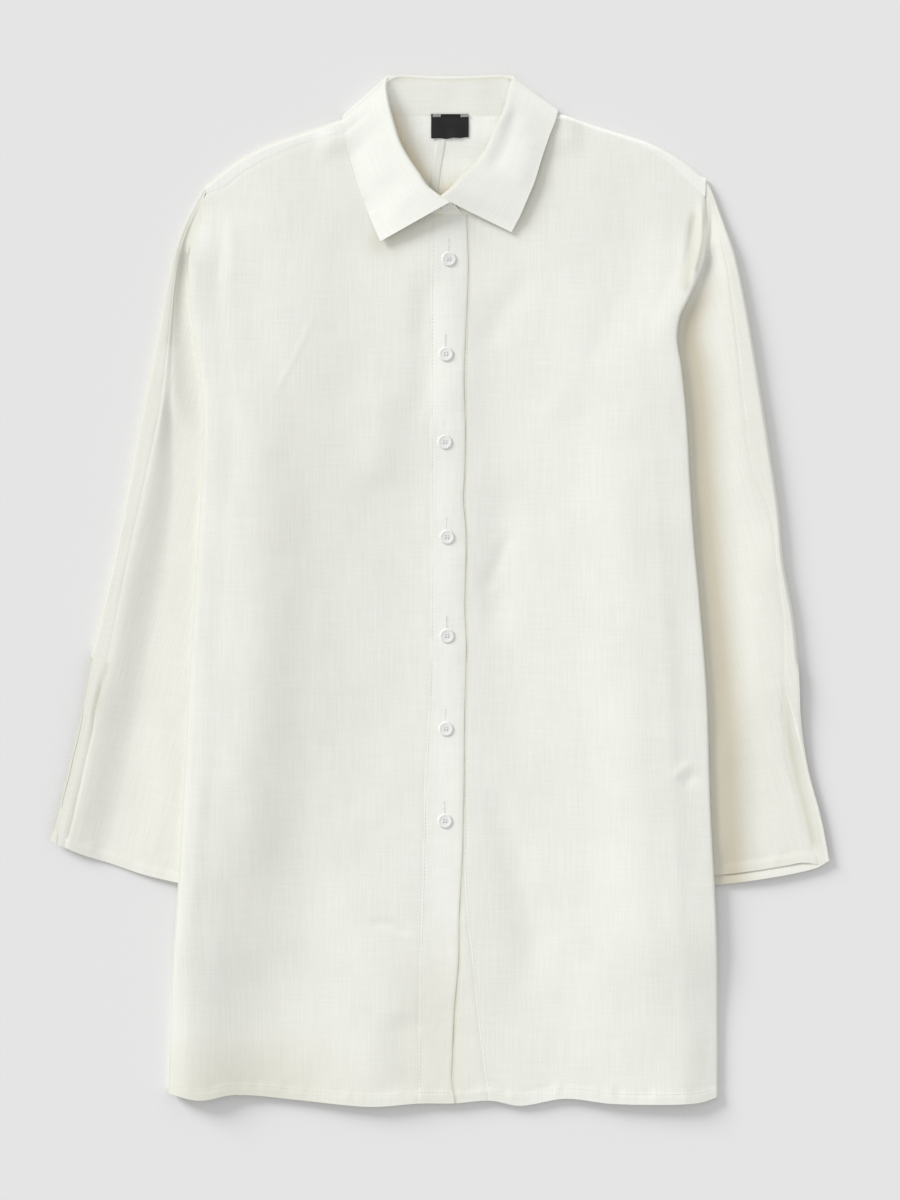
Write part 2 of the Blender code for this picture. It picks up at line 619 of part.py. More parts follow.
def sleeve(side_name, rows, sign, cap, underarm, cuff):
    contour = Line([Point(row.x, row.y) for row in reversed(rows)])
    inner = Line(underarm[::-1])
    top = Line(cap).at
    foot = Line(cuff)
    body_rows = RIGHT_SIDE if sign < 0 else LEFT_SIDE

    def raised_cuff(u):
        x, y = foot.at(u)
        return (x, y + 0.5 + CUFF_STEP[sign] * u)

    def measure(v):
        start, end = contour.at(v), inner.at(v)
        return start[1], math.dist(start, end)

    def under_share(y):
        return smooth((underarm[0].y + 46 - y) / 24)

    def cap_height(x, y):
        body_top = right_front_top(x, y) if sign < 0 else front_top(x, y)
        at_edge = turned_down(x, y, body_top, 0.0, False)
        return mix(min(7.5, at_edge - 0.6), column(body_rows, "y", "sleeve_z", y), under_share(y))

    def front_place(c, v):
        row_y, width = measure(v)
        start = (column(rows, "y", "seam", row_y) + 2 * SEAM) / width
        u = mix(start, 1.0, c)
        x, y = patch(raised_cuff, top, contour.at, inner.at, u, v)
        x += sign * CAP_GAP * smooth(v * 8 - 7)
        along = u * width
        fold_z = column(rows, "y", "fold_z", row_y)
        level = column(rows, "y", "seam", row_y) + 1.5
        valley = max(level + 7, column(rows, "y", "valley", row_y))
        valley_z = column(rows, "y", "valley_z", row_y)
        inside = inside_edge(x, y)
        if inside >= 0:
            z = sleeve_under(x, y)
        elif along < valley:
            z = mix(fold_z, valley_z, smooth((along - level) / (valley - level)))
        else:
            share = (along - valley) / max(1.0, along - inside - valley)
            z = mix(valley_z, column(body_rows, "y", "sleeve_z", y), smooth(share))
        near_cap = smooth(1 - (1 - v) / 0.13)
        z = mix(z, cap_height(x, y), near_cap)
        if inside >= 0:
            z = min(z, sleeve_under(x, y) + 8 * (1 - under_share(y)))
        return (x, y, z)

    def back_place(c, v):
        row_y, width = measure(v)
        wrap = min(column(rows, "y", "wrap", row_y), column(rows, "y", "seam", row_y))
        wrap -= 3 * SEAM * smooth(v * 8 - 6)
        high = column(rows, "y", "fold_z", row_y)
        reach = min(4.0, max(1.8, wrap - 0.4))
        if c < 0:
            angle = 0.0
            t = mix(reach + 6.0, width, -c)
            z = 0.0
        elif c < 1:
            angle = math.pi * c
            t = reach * (1 - math.sin(angle))
            z = high * (1 - math.cos(angle)) / 2
        else:
            t = mix(reach, wrap, c - 1)
            z = high
        x, y = patch(foot.at, top, contour.at, inner.at, t / width, v)
        x += sign * CAP_GAP * smooth(v * 8 - 7)
        if c > 0:
            near_cap = smooth(1 - (1 - v) / 0.13)
            high = mix(high, cap_height(x, y), near_cap)
            z = high * (1 - math.cos(angle)) / 2 if c < 1 else high
        return (x, y, z)

    cloth("sleeve_" + side_name + "_front", SLEEVE_COLUMNS, SLEEVE_ROWS, front_place, flip=sign > 0)
    around = ([-share for share in reversed(spread(FLOOR_COLUMNS))] + spread(BEND_COLUMNS, 0.001, 0.999)
              + [2.0])
    cloth("sleeve_" + side_name + "_back", around, SLEEVE_ROWS, back_place, flip=sign > 0)


COLLAR_SECTIONS = RIGHT_COLLAR + [BACK_COLLAR] + LEFT_COLLAR[::-1]
LAST_SECTION = len(COLLAR_SECTIONS) - 1
NECK_CENTRE = Point(6, 410)
LEAF_COLUMNS = [-1.0] + spread(5, 0.0, 1.0) + [1.22, 1.5, 1.78, 2.0]


def roll_lead(turn, shortest, longest):
    """A length below the roll, which grows where the collar turns its corner."""
    return mix(shortest, longest, math.sin(math.radians(turn)) ** 2)


def collar_stations():
    """Every section of the table, and halfway between two wherever the collar curves."""
    stations = []
    for k, section in enumerate(COLLAR_SECTIONS):
        stations.append(k)
        if k < LAST_SECTION and section.turn + COLLAR_SECTIONS[k + 1].turn < 360:
            stations.append(k + 0.5)
    return stations


def section_at(place):
    """Reads the collar's table between its rows, and works out the heights that it leaves open."""
    if place < 0:
        row = Section(*[mix(a, b, -place) for a, b in zip(COLLAR_SECTIONS[0], OVER_END)])
    elif place > LAST_SECTION:
        share = place - LAST_SECTION
        row = Section(*[mix(a, b, share) for a, b in zip(COLLAR_SECTIONS[-1], UNDER_END)])
    else:
        keys = list(range(LAST_SECTION + 1))
        row = Section(*[read(keys, [section[k] for section in COLLAR_SECTIONS], place)
                        for k in range(len(Section._fields))])
    height = right_front_top if place <= LAST_SECTION / 2 else front_top
    facing = smooth((row.turn - 45) / 90)
    neck_top = height(row.neck_x, row.neck_y) - WALL
    neck_low = back_under(row.neck_x, row.neck_y) + WALL
    neck = (row.neck_x, row.neck_y, mix(neck_top, neck_low, facing))
    edge_top = height(row.edge_x, row.edge_y) + WALL + row.lift
    edge = (row.edge_x, row.edge_y, mix(edge_top, 0.0, facing))
    roll = (row.roll_x, row.roll_y, row.roll_z)
    return row, neck, roll, edge


def outward(roll, towards, turn):
    """The level direction from the roll to a point, and the way that the leaf's face looks."""
    dx, dy = towards[0] - roll[0], towards[1] - roll[1]
    length = math.hypot(dx, dy)
    along = (dx / length, dy / length)
    beside = (-along[1], along[0])
    if beside[0] * (roll[0] - NECK_CENTRE.x) + beside[1] * (roll[1] - NECK_CENTRE.y) < 0:
        beside = (along[1], -along[0])
    angle = math.radians(turn)
    face = (beside[0] * math.sin(angle), beside[1] * math.sin(angle), math.cos(angle))
    return along, face


def collar_leaf():
    def place(c, station):
        row, neck, roll, edge = section_at(station)
        along, face = outward(roll, edge, row.turn)
        if c < 0:
            end = [roll[k] - face[k] * row.round for k in range(3)]
            return [mix(end[k], neck[k], roll_lead(row.turn, 1.2, 2.8) / math.dist(neck, end)) for k in range(3)]
        if c <= 1:
            angle = math.pi * c
            out = -row.round * math.sin(angle)
            up = -row.round * math.cos(angle)
            return (roll[0] + along[0] * out + face[0] * up, roll[1] + along[1] * out + face[1] * up,
                    roll[2] + face[2] * up)
        g = c - 1
        top = [roll[k] + face[k] * row.round for k in range(3)]
        facing = smooth((row.turn - 45) / 90)
        settle = 1 - (1 - g) ** mix(1.35, 2.6, facing)
        crown = 0.5 * math.sin(math.pi * g) * (1 - facing)
        return (mix(top[0], edge[0], g), mix(top[1], edge[1], g), mix(top[2], edge[2], settle) + crown)

    cloth("collar", LEAF_COLUMNS, collar_stations(), place, flip=True)


def collar_stand():
    def place(c, station):
        row, neck, roll, edge = section_at(station)
        along, face = outward(roll, edge, row.turn)
        end = [roll[k] - face[k] * row.round for k in range(3)]
        reach = 1 - roll_lead(row.turn, 1.7, 7.5) / math.dist(neck, end)
        return [mix(neck[k], end[k], c * reach) for k in range(3)]

    stations = [-1.0, -0.5] + collar_stations() + [LAST_SECTION + 0.5, LAST_SECTION + 1.0]
    cloth("collar_stand", spread(5), stations, place, flip=True)


def label():
    """A small bare label, sewn on at the back of the neck."""
    def place(u, v):
        x = mix(LABEL_LEFT, LABEL_RIGHT, u)
        y = mix(LABEL_FOOT - 0.5 * math.sin(u * 5), LABEL_TOP, v)
        under = back_under(x, min(y, BACK_NECK_Y)) + WALL + max(0.0, y - BACK_NECK_Y) * 0.13
        return (x, y, under + WALL + 0.4)
    cloth("neck_label", spread(5), spread(5), place, slot="label_black")


def stand_over_top(x, y):
    """Upper face of the lapped end of the stand."""
    foot = right_front_top(x, OVER_END.neck_y)
    head = OVER_END.roll_z - OVER_END.round + WALL
    share = (y - OVER_END.neck_y) / (OVER_END.roll_y - OVER_END.neck_y)
    return mix(foot, head, share)


def button_profile(radius, thick):
    """A dished button with a raised rim, from the middle of its top round to its foot."""
    return [(0.0, 0.55 * thick), (0.5 * radius, 0.55 * thick), (0.8 * radius, thick),
            (0.96 * radius, 0.88 * thick), (radius, 0.45 * thick), (0.8 * radius, 0.0), (0.0, 0.0)]


def button(name, at, surface, radius, thick):
    step = 2.0
    slope_x = (surface(at.x + step, at.y) - surface(at.x - step, at.y)) / (2 * step)
    slope_y = (surface(at.x, at.y + step) - surface(at.x, at.y - step)) / (2 * step)
    up = Vector((-slope_x, -slope_y, 1.0)).normalized()
    profile = button_profile(radius, thick)
    mesh = bpy.data.meshes.new(name)
    mesh.from_pydata([(r * MM, 0.0, h * MM) for r, h in profile],
                     [(k, k + 1) for k in range(len(profile) - 1)], [])
    piece = bpy.data.objects.new(name, mesh)
    shirt.objects.link(piece)
    turn = piece.modifiers.new("turned", "SCREW")
    turn.steps = 14
    turn.render_steps = 14
    turn.use_merge_vertices = True
    turn.merge_threshold = 0.00001
    turn.use_smooth_shade = True
    piece.location = (Vector((at.x, at.y, surface(at.x, at.y))) + up * 0.45 + TO_MIDDLE) * MM
    piece.rotation_euler = Vector((0, 0, 1)).rotation_difference(up).to_euler()
    mesh.materials.append(material_of("button_clear"))


def main():
    front_panel("front_right", RIGHT_SIDE, -1, RIGHT_SHOULDER_SEAM, RIGHT_COLLAR, PLACKET_SEAM,
                right_front_top)
    front_panel("front_left", LEFT_SIDE, 1, LEFT_SHOULDER_SEAM, LEFT_COLLAR, BAND_SEAM, front_top)
    back_panel("back_right", RIGHT_SIDE, -1)
    back_panel("back_left", LEFT_SIDE, 1)
    placket_seam = Line([Point(p.x, p.y) for p in reversed(PLACKET_SEAM)])
    band_seam = Line([Point(p.x, p.y) for p in reversed(BAND_SEAM)])
    band_x = line_x(BAND_SEAM)
    band("placket", placket_seam, line_x(PLACKET_EDGE), True, placket_top)
    band("button_band", band_seam, lambda y: band_x(y) - PLACKET_WIDTH, False, front_top)
    sleeve("right", RIGHT_SLEEVE, -1, RIGHT_CAP, RIGHT_UNDERARM, RIGHT_CUFF)
    sleeve("left", LEFT_SLEEVE, 1, LEFT_CAP, LEFT_UNDERARM, LEFT_CUFF)
    collar_stand()
    collar_leaf()
    label()
    for number, place in enumerate(BUTTON_PLACES, 1):
        button("button_" + str(number), place, placket_top, BUTTON_RADIUS, BUTTON_THICK)
    button("button_stand", STAND_BUTTON_PLACE, stand_over_top, STAND_BUTTON_RADIUS, STAND_BUTTON_THICK)


for old in list(bpy.data.objects):
    bpy.data.objects.remove(old)
shirt = bpy.data.collections.new("oversized_linen_shirt")
bpy.context.scene.collection.children.link(shirt)
main()
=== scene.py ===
# %% [markdown]
# # An oversized linen shirt, laid out flat
# The shirt lies on its back on a pale table, buttoned up, with its sleeves turned down and tucked under
# its sides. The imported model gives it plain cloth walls. This lesson replaces each wall with a thinner,
# finer shell that has the real cloth's folds, seams and stitches, and then gives it linen, a woven label
# and clear buttons. The tables below repeat the pattern's own measures, so each piece lies where the
# packed one does.

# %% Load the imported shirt
import json
import math
from collections import namedtuple

import bmesh
import bpy
import numpy as np
from mathutils import Vector
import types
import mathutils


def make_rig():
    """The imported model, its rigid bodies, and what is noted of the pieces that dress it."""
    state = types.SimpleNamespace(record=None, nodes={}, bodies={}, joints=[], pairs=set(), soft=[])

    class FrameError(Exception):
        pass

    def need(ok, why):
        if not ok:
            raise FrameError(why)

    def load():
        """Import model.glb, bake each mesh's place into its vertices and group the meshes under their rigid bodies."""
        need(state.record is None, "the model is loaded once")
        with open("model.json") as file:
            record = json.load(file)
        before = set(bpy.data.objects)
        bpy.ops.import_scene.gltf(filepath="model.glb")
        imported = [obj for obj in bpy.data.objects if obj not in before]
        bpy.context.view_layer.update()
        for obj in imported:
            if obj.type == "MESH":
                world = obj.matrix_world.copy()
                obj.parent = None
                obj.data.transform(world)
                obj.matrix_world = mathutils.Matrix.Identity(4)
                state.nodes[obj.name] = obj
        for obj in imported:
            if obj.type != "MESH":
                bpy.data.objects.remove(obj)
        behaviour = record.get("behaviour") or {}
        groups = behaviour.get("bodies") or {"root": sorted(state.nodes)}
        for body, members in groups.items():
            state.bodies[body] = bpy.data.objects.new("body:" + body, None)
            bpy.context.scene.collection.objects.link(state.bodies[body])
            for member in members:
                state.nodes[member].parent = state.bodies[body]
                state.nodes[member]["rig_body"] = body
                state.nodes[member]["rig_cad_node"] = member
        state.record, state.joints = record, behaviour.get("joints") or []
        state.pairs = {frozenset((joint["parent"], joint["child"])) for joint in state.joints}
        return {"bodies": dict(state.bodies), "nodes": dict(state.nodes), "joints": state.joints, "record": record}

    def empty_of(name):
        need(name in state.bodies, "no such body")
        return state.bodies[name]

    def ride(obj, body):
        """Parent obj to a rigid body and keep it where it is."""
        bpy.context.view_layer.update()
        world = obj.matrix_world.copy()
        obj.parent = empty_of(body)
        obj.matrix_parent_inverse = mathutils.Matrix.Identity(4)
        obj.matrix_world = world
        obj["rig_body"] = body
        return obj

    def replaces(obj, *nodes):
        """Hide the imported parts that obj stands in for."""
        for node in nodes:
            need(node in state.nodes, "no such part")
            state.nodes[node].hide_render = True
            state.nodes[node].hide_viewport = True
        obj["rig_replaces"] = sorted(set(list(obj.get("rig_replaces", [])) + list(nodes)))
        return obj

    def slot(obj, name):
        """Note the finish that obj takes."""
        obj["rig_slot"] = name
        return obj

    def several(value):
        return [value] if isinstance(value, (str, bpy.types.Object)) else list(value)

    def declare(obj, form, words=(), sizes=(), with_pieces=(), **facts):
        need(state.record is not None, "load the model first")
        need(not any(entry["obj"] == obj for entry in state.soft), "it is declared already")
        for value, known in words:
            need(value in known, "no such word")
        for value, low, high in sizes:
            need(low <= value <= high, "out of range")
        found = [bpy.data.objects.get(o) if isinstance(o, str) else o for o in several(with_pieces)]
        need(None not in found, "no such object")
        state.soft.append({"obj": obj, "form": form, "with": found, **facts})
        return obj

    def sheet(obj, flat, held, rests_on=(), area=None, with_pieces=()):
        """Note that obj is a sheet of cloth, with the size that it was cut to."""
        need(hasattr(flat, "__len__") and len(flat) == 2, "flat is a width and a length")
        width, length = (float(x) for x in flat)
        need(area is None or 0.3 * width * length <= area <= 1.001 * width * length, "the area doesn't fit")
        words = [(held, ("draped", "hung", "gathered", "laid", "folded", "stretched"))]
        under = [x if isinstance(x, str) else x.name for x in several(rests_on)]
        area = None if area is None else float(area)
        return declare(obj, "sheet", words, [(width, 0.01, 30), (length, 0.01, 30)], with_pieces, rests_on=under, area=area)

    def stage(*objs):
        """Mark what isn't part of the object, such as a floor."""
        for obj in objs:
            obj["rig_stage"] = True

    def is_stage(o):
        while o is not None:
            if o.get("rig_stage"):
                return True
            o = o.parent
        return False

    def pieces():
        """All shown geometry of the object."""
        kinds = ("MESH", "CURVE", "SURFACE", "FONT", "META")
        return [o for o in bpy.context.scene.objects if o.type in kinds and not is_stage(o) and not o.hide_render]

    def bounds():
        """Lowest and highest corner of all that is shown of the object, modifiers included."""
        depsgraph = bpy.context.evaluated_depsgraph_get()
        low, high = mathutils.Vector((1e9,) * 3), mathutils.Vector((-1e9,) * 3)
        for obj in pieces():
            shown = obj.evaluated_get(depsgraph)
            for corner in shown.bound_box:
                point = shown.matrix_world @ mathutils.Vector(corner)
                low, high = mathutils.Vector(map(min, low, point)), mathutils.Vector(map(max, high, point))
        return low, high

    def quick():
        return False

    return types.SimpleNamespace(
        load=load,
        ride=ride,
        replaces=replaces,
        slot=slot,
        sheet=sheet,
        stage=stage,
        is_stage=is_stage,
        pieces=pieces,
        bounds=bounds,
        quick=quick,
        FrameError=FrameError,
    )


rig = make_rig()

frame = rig.load()
cad_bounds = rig.bounds()
print("Packed pieces:", len(frame["nodes"]))

# %% [markdown]
# ## The camera
# A flat lay is shot from straight above. A long lens from nearly three metres keeps the edges of the
# shirt from leaning outwards, as they would near a short lens. The camera is turned so that the top of
# the picture is the collar.

# %% Camera
FRAME_HEIGHT = 1.116
LENS = 90.0
CLOTH_LEVEL = 0.006
camera_data = bpy.data.cameras.new("overhead")
camera_data.lens = LENS
camera_data.sensor_width = 36.0
camera_data.clip_end = 20.0
camera = bpy.data.objects.new("overhead", camera_data)
camera.location = (0.00967, -0.00877, CLOTH_LEVEL + FRAME_HEIGHT * LENS / 36.0)
bpy.context.scene.collection.objects.link(camera)
bpy.context.scene.camera = camera
print("Camera height in metres:", round(camera.location.z, 3))

# %% [markdown]
# ## The light
# The real shirt was lit by a big soft lamp, low on the upper left, in a bright white room. The lamp is a
# sun with a wide disc, because a sun gives the same angle all over the table. The room is a plain white
# world. The low angle is what makes shallow folds show, and the wide disc is what softens their shade.

# %% Lamp and room
LAMP_HEIGHT = 18.5
LAMP_TRAVEL = -40.0
lamp_data = bpy.data.lights.new("soft_lamp", "SUN")
lamp_data.energy = 3.17
lamp_data.angle = math.radians(21)
lamp_data.color = (1.0, 1.0, 1.0)
lamp = bpy.data.objects.new("soft_lamp", lamp_data)
lamp_way = Vector((math.cos(math.radians(LAMP_TRAVEL)), math.sin(math.radians(LAMP_TRAVEL)),
                   -math.tan(math.radians(LAMP_HEIGHT))))
lamp.rotation_euler = lamp_way.to_track_quat("-Z", "Y").to_euler()
bpy.context.scene.collection.objects.link(lamp)

room = bpy.data.worlds.new("white_room")
room.use_nodes = True
room.node_tree.nodes["Background"].inputs["Color"].default_value = (1.0, 1.0, 1.0, 1)
room.node_tree.nodes["Background"].inputs["Strength"].default_value = 0.678
bpy.context.scene.world = room
bpy.context.scene.view_settings.view_transform = "Standard"
print("Lamp height in degrees:", LAMP_HEIGHT)

# %% [markdown]
# ## Small tools for curves
# A pattern maker draws a few points and joins them with a smooth line. The same is done here with a
# Hermite curve, which passes through every point of a table and leans on the points beside it. All the
# tools take whole arrays of numbers, so that a panel with forty thousand points is still made at once.

# %% Curves through a table
MM = 0.001
# Brings the middle of the shirt to the origin
TO_MIDDLE = np.array([-0.1, 1.0, 0.0])


def smooth(value):
    """An S-curve from 0 to 1."""
    value = np.clip(value, 0.0, 1.0)
    return value * value * (3 - 2 * value)


def mix(low, high, share):
    return low + (high - low) * share


def read(keys, values, at):
    """Reads a smooth curve through the values, at one key or at an array of them."""
    keys = np.asarray(keys, float)
    values = np.asarray(values, float)
    if keys[0] > keys[-1]:
        keys = keys[::-1]
        values = values[::-1]
    at = np.clip(at, keys[0], keys[-1])
    i = np.clip(np.searchsorted(keys, at, side="left") - 1, 0, len(keys) - 2)
    before = np.maximum(i - 1, 0)
    after = np.minimum(i + 2, len(keys) - 1)
    span = keys[i + 1] - keys[i]
    m1 = (values[i + 1] - values[before]) / (keys[i + 1] - keys[before])
    m2 = (values[after] - values[i]) / (keys[after] - keys[i])
    s = (at - keys[i]) / span
    return (values[i] * (2 * s**3 - 3 * s**2 + 1) + m1 * span * (s**3 - 2 * s**2 + s)
            + values[i + 1] * (3 * s**2 - 2 * s**3) + m2 * span * (s**3 - s**2))


def column(rows, key, name, at):
    """Reads one named column of a table."""
    return read([getattr(row, key) for row in rows], [getattr(row, name) for row in rows], at)


class Line:
    """A smooth line through points, read by the share of its length."""

    def __init__(self, points):
        self.points = [tuple(p) for p in points]
        self.lengths = [0.0]
        for a, b in zip(self.points, self.points[1:]):
            self.lengths.append(self.lengths[-1] + math.dist(a, b))

    def at(self, share):
        travelled = share * self.lengths[-1]
        return tuple(read(self.lengths, [p[axis] for p in self.points], travelled)
                     for axis in range(len(self.points[0])))


def patch(foot, top, first, last, u, v):
    """The plan of a panel that hangs between four edges: u goes first to last, v foot to top."""
    f, t, i, o = foot(u), top(u), first(v), last(v)
    c = [foot(0.0), foot(1.0), top(0.0), top(1.0)]
    return [mix(f[k], t[k], v) + mix(i[k], o[k], u)
            - mix(mix(c[0][k], c[1][k], u), mix(c[2][k], c[3][k], u), v) for k in range(2)]


def spread(count, low=0.0, high=1.0):
    return list(np.linspace(low, high, count))


print("A curve through 0, 1, 4 read at 1.5:", round(float(read([0, 1, 2], [0, 1, 4], 1.5)), 3))

# %% [markdown]
# ## The pattern's measures
# Lengths are millimetres. +Y runs up the shirt from hem to collar, and the wearer's right is at -X. Each
# side table says where the edge of the body lies at a height, how high the sleeve beneath swells there,
# and whether the front and the back are joined in a closed side.

# %% Side edges, hem and shoulders
Point = namedtuple("Point", "x y")
SideRow = namedtuple("SideRow", "y edge sleeve_z closed")
RIGHT_SIDE = [SideRow(*row) for row in [
    (377, 215.5, 4.0, 0), (350, 224.5, 4.0, 0), (320, 231.0, 4.5, 0), (299, 233.5, 4.8, 0.4),
    (272, 232.5, 5.0, 1), (234, 228.0, 5.0, 1), (185, 221.0, 5.0, 1), (142, 219.5, 5.0, 1),
    (96, 221.5, 5.0, 1), (8, 227.0, 5.0, 1), (-93, 233.0, 5.0, 1), (-183, 238.0, 4.5, 1),
    (-275, 243.0, 4.0, 1), (-368, 249.0, 4.0, 1), (-468, 252.5, 4.0, 1)]]
LEFT_SIDE = [SideRow(*row) for row in [
    (383, 246.0, 4.0, 0), (366, 248.0, 4.0, 0), (342, 249.5, 4.0, 0), (317, 247.5, 4.5, 0),
    (296, 243.0, 4.5, 0.4), (270, 231.5, 4.5, 1), (253, 223.5, 4.5, 1), (232, 221.0, 4.5, 1),
    (206, 225.0, 4.5, 1), (155, 230.0, 4.5, 1), (107, 232.5, 4.5, 1), (46, 236.5, 4.5, 1),
    (-8, 241.5, 4.5, 1), (-98, 248.5, 4.5, 1), (-206, 252.0, 4.5, 1), (-278, 256.0, 4.0, 1),
    (-349, 258.5, 4.0, 1), (-472, 259.0, 4.0, 1)]]
HEM = [Point(*p) for p in [
    (-252.5, -468), (-223, -474.5), (-190, -469.5), (-130, -474.5), (-65, -480), (-20, -477), (13, -477),
    (47, -474.5), (75, -479.5), (117, -473), (159, -477.5), (205, -478.5), (242, -477), (259, -472)]]
# The top fold of each shoulder, and the seam in front of it
RIGHT_SHOULDER = [Point(*p) for p in [
    (-216, 377), (-203, 388), (-189, 398.5), (-172.5, 408), (-159.5, 414.5), (-130, 424.5), (-100, 435),
    (-88, 438.5), (-80, 440.2), (-72, 441.5), (-60, 444.3), (-50, 448)]]
LEFT_SHOULDER = [Point(*p) for p in [
    (246, 383), (233, 393.5), (214.5, 405.5), (191, 417), (167, 424.5), (143.5, 432), (125.5, 438),
    (114, 442), (101, 443.5), (92, 444.5), (84, 445.5), (66, 452)]]
RIGHT_SHOULDER_SEAM = [Point(*p) for p in [
    (-217.5, 367.5), (-199, 374), (-185.5, 385.5), (-162, 399.5), (-130, 413), (-100, 421.5), (-80.5, 426)]]
LEFT_SHOULDER_SEAM = [Point(*p) for p in [
    (247.5, 365), (237.5, 373.5), (214.5, 395), (186.5, 411.5), (149.5, 423.5), (115, 435.8),
    (100, 437.2)]]
BACK_NECK_Y = 439.5
BACK_CENTRE = [Point(*p) for p in [
    (3.3, BACK_NECK_Y), (1.4, 418), (-4.6, 377), (-8, 300), (-8, 0), (-8, -300), (-6, -474)]]
PLACKET_SEAM = [Point(*p) for p in [
    (-7.5, 350.5), (-8, 310), (-8.8, 256), (-9, 80), (-9.5, -90), (-14.8, -193), (-16, -259), (-18, -325),
    (-19.6, -412), (-20.3, -478)]]
PLACKET_EDGE = [Point(*p) for p in [
    (24.6, 349.5), (25.7, 328), (26.5, 300), (25.4, 267), (23.6, 225), (22.6, 195), (23.7, 150),
    (23.2, 110), (22.0, 84), (24.4, 50), (23.3, -17), (24.6, -52), (23.0, -120), (22.4, -190),
    (21.0, -248), (18.1, -300), (17.4, -345), (13.5, -391), (11.6, -435), (11.2, -456), (14.4, -477)]]
BAND_SEAM = [Point(*p) for p in [
    (24, 350), (24, 260), (22, 100), (21.8, -100), (22.3, -250), (25.6, -303), (30.2, -345),
    (35.8, -401), (40.1, -435), (45.5, -475.5)]]
PLACKET_WIDTH = 33.0


def line_x(line, y):
    return read([p.y for p in line], [p.x for p in line], y)


def line_y(line, x):
    return read([p.x for p in line], [p.y for p in line], x)


def hem_y(x):
    return line_y(HEM, x)


def beside(x, y, name):
    """Reads the side table of the side that each point lies on."""
    return np.where(np.asarray(x) < 0, column(RIGHT_SIDE, "y", name, y), column(LEFT_SIDE, "y", name, y))


def inside_edge(x, y):
    """How far a point lies in from the edge of the body beside it."""
    return beside(x, y, "edge") - np.abs(x)


print("Width of the body at the hem:", RIGHT_SIDE[-1].edge + LEFT_SIDE[-1].edge)

# %% [markdown]
# ## Sleeves, as measured
# Each row is a place on the outer fold of a sleeve. The seam runs along the top of the arm, a little way
# in from that fold, and the cloth dips into a shallow valley before it goes in under the body. Below the
# slit the back half wraps round less far, so the slit opens.

# %% Sleeve tables
SleeveRow = namedtuple("SleeveRow", "x y seam wrap fold_z valley valley_z")
RIGHT_SLEEVE = [SleeveRow(*row) for row in [
    (-218.3, 376.8, 4.5, 4.5, 5.0, 6, 5.0), (-229, 359, 6, 6, 6.5, 8, 5.0),
    (-241, 333, 9, 9, 7.5, 14, 5.2), (-250.5, 300, 13, 13, 8.0, 20, 5.2),
    (-262, 242.5, 18, 18, 8.5, 28, 5.4), (-274, 184, 22, 22, 9.0, 40, 5.4),
    (-286, 124, 20, 20, 9.0, 54, 5.0), (-302.5, 37, 16, 16, 9.0, 58, 4.6),
    (-321.5, -47, 18, 18, 9.0, 58, 4.2), (-325.5, -68, 17, 17, 8.5, 58, 3.8),
    (-330, -93, 13, 4, 8.3, 57, 3.2), (-336, -124, 14, 4, 8.0, 56, 2.8),
    (-344, -162, 14, 3, 7.6, 56, 2.4), (-353, -195, 15, 4, 7.2, 56, 2.3),
    (-363, -233, 15, 9, 6.8, 58, 2.3)]]
LEFT_SLEEVE = [SleeveRow(*row) for row in [
    (248.3, 382.5, 4.5, 4.5, 5.0, 6, 5.0), (254, 374, 5.5, 5.5, 6.0, 7, 5.0),
    (267.5, 335, 15, 15, 7.2, 19, 5.0), (275.5, 310.5, 17, 17, 7.4, 28, 4.8),
    (288, 250.5, 20, 20, 7.6, 42, 4.5), (297, 196, 23, 23, 7.6, 52, 4.5),
    (307.5, 130, 24, 24, 7.6, 56, 4.5), (316, 72, 10, 10, 7.6, 60, 4.2),
    (320, 27, 9, 9, 7.6, 60, 4.2), (329, -23, 12, 12, 7.6, 62, 4.0),
    (334.5, -78, 17, 17, 7.4, 62, 4.0), (336.5, -120, 19, 8, 7.2, 60, 4.0),
    (343, -165, 19, 3, 7.0, 60, 4.0), (355, -211, 18, 3, 7.0, 58, 4.0),
    (363.2, -252, 12, 3, 6.5, 50, 4.0)]]
RIGHT_CAP = [Point(*p) for p in [
    (-218.3, 376.8), (-219.3, 368), (-225.4, 350), (-232.2, 320), (-234.2, 300), (-229, 281)]]
LEFT_CAP = [Point(*p) for p in [
    (248.3, 382.5), (249.2, 366), (250, 342), (248, 317), (244, 298), (236, 281)]]
RIGHT_UNDERARM = [Point(*p) for p in [
    (-229, 281), (-229.5, 262), (-223, 235), (-197, 157), (-186, 83), (-188, -103), (-193, -284)]]
LEFT_UNDERARM = [Point(*p) for p in [
    (236, 281), (222, 251), (210, 226), (198, 176), (191, 83), (198, -103), (205, -277)]]
RIGHT_CUFF = [Point(*p) for p in [
    (-363, -233), (-336, -246), (-307, -255.5), (-270, -267.5), (-193, -284)]]
LEFT_CUFF = [Point(*p) for p in [
    (363.2, -252), (350, -259.5), (307, -268.5), (256, -275), (205, -277)]]
CUFF_STEP = {-1: 0.6, 1: 9.0}
SLEEVE_FLAT_TOP = 2.3


def hidden_width(x, y):
    """How far a sleeve reaches in under the body at this height."""
    inner = np.where(np.asarray(x) < 0, -line_x(RIGHT_UNDERARM, y), line_x(LEFT_UNDERARM, y))
    start = np.where(np.asarray(x) < 0, RIGHT_UNDERARM[0].y, LEFT_UNDERARM[0].y)
    return np.maximum(0.0, beside(x, y, "edge") - inner) * smooth((start - y) / 46)


def sleeve_under(x, y):
    """Top of the sleeve where the body lies on it: it swells at the edge and is flat further in."""
    edge_z = beside(x, y, "sleeve_z")
    return SLEEVE_FLAT_TOP + (edge_z - SLEEVE_FLAT_TOP) * (1 - smooth(inside_edge(x, y) / 30))


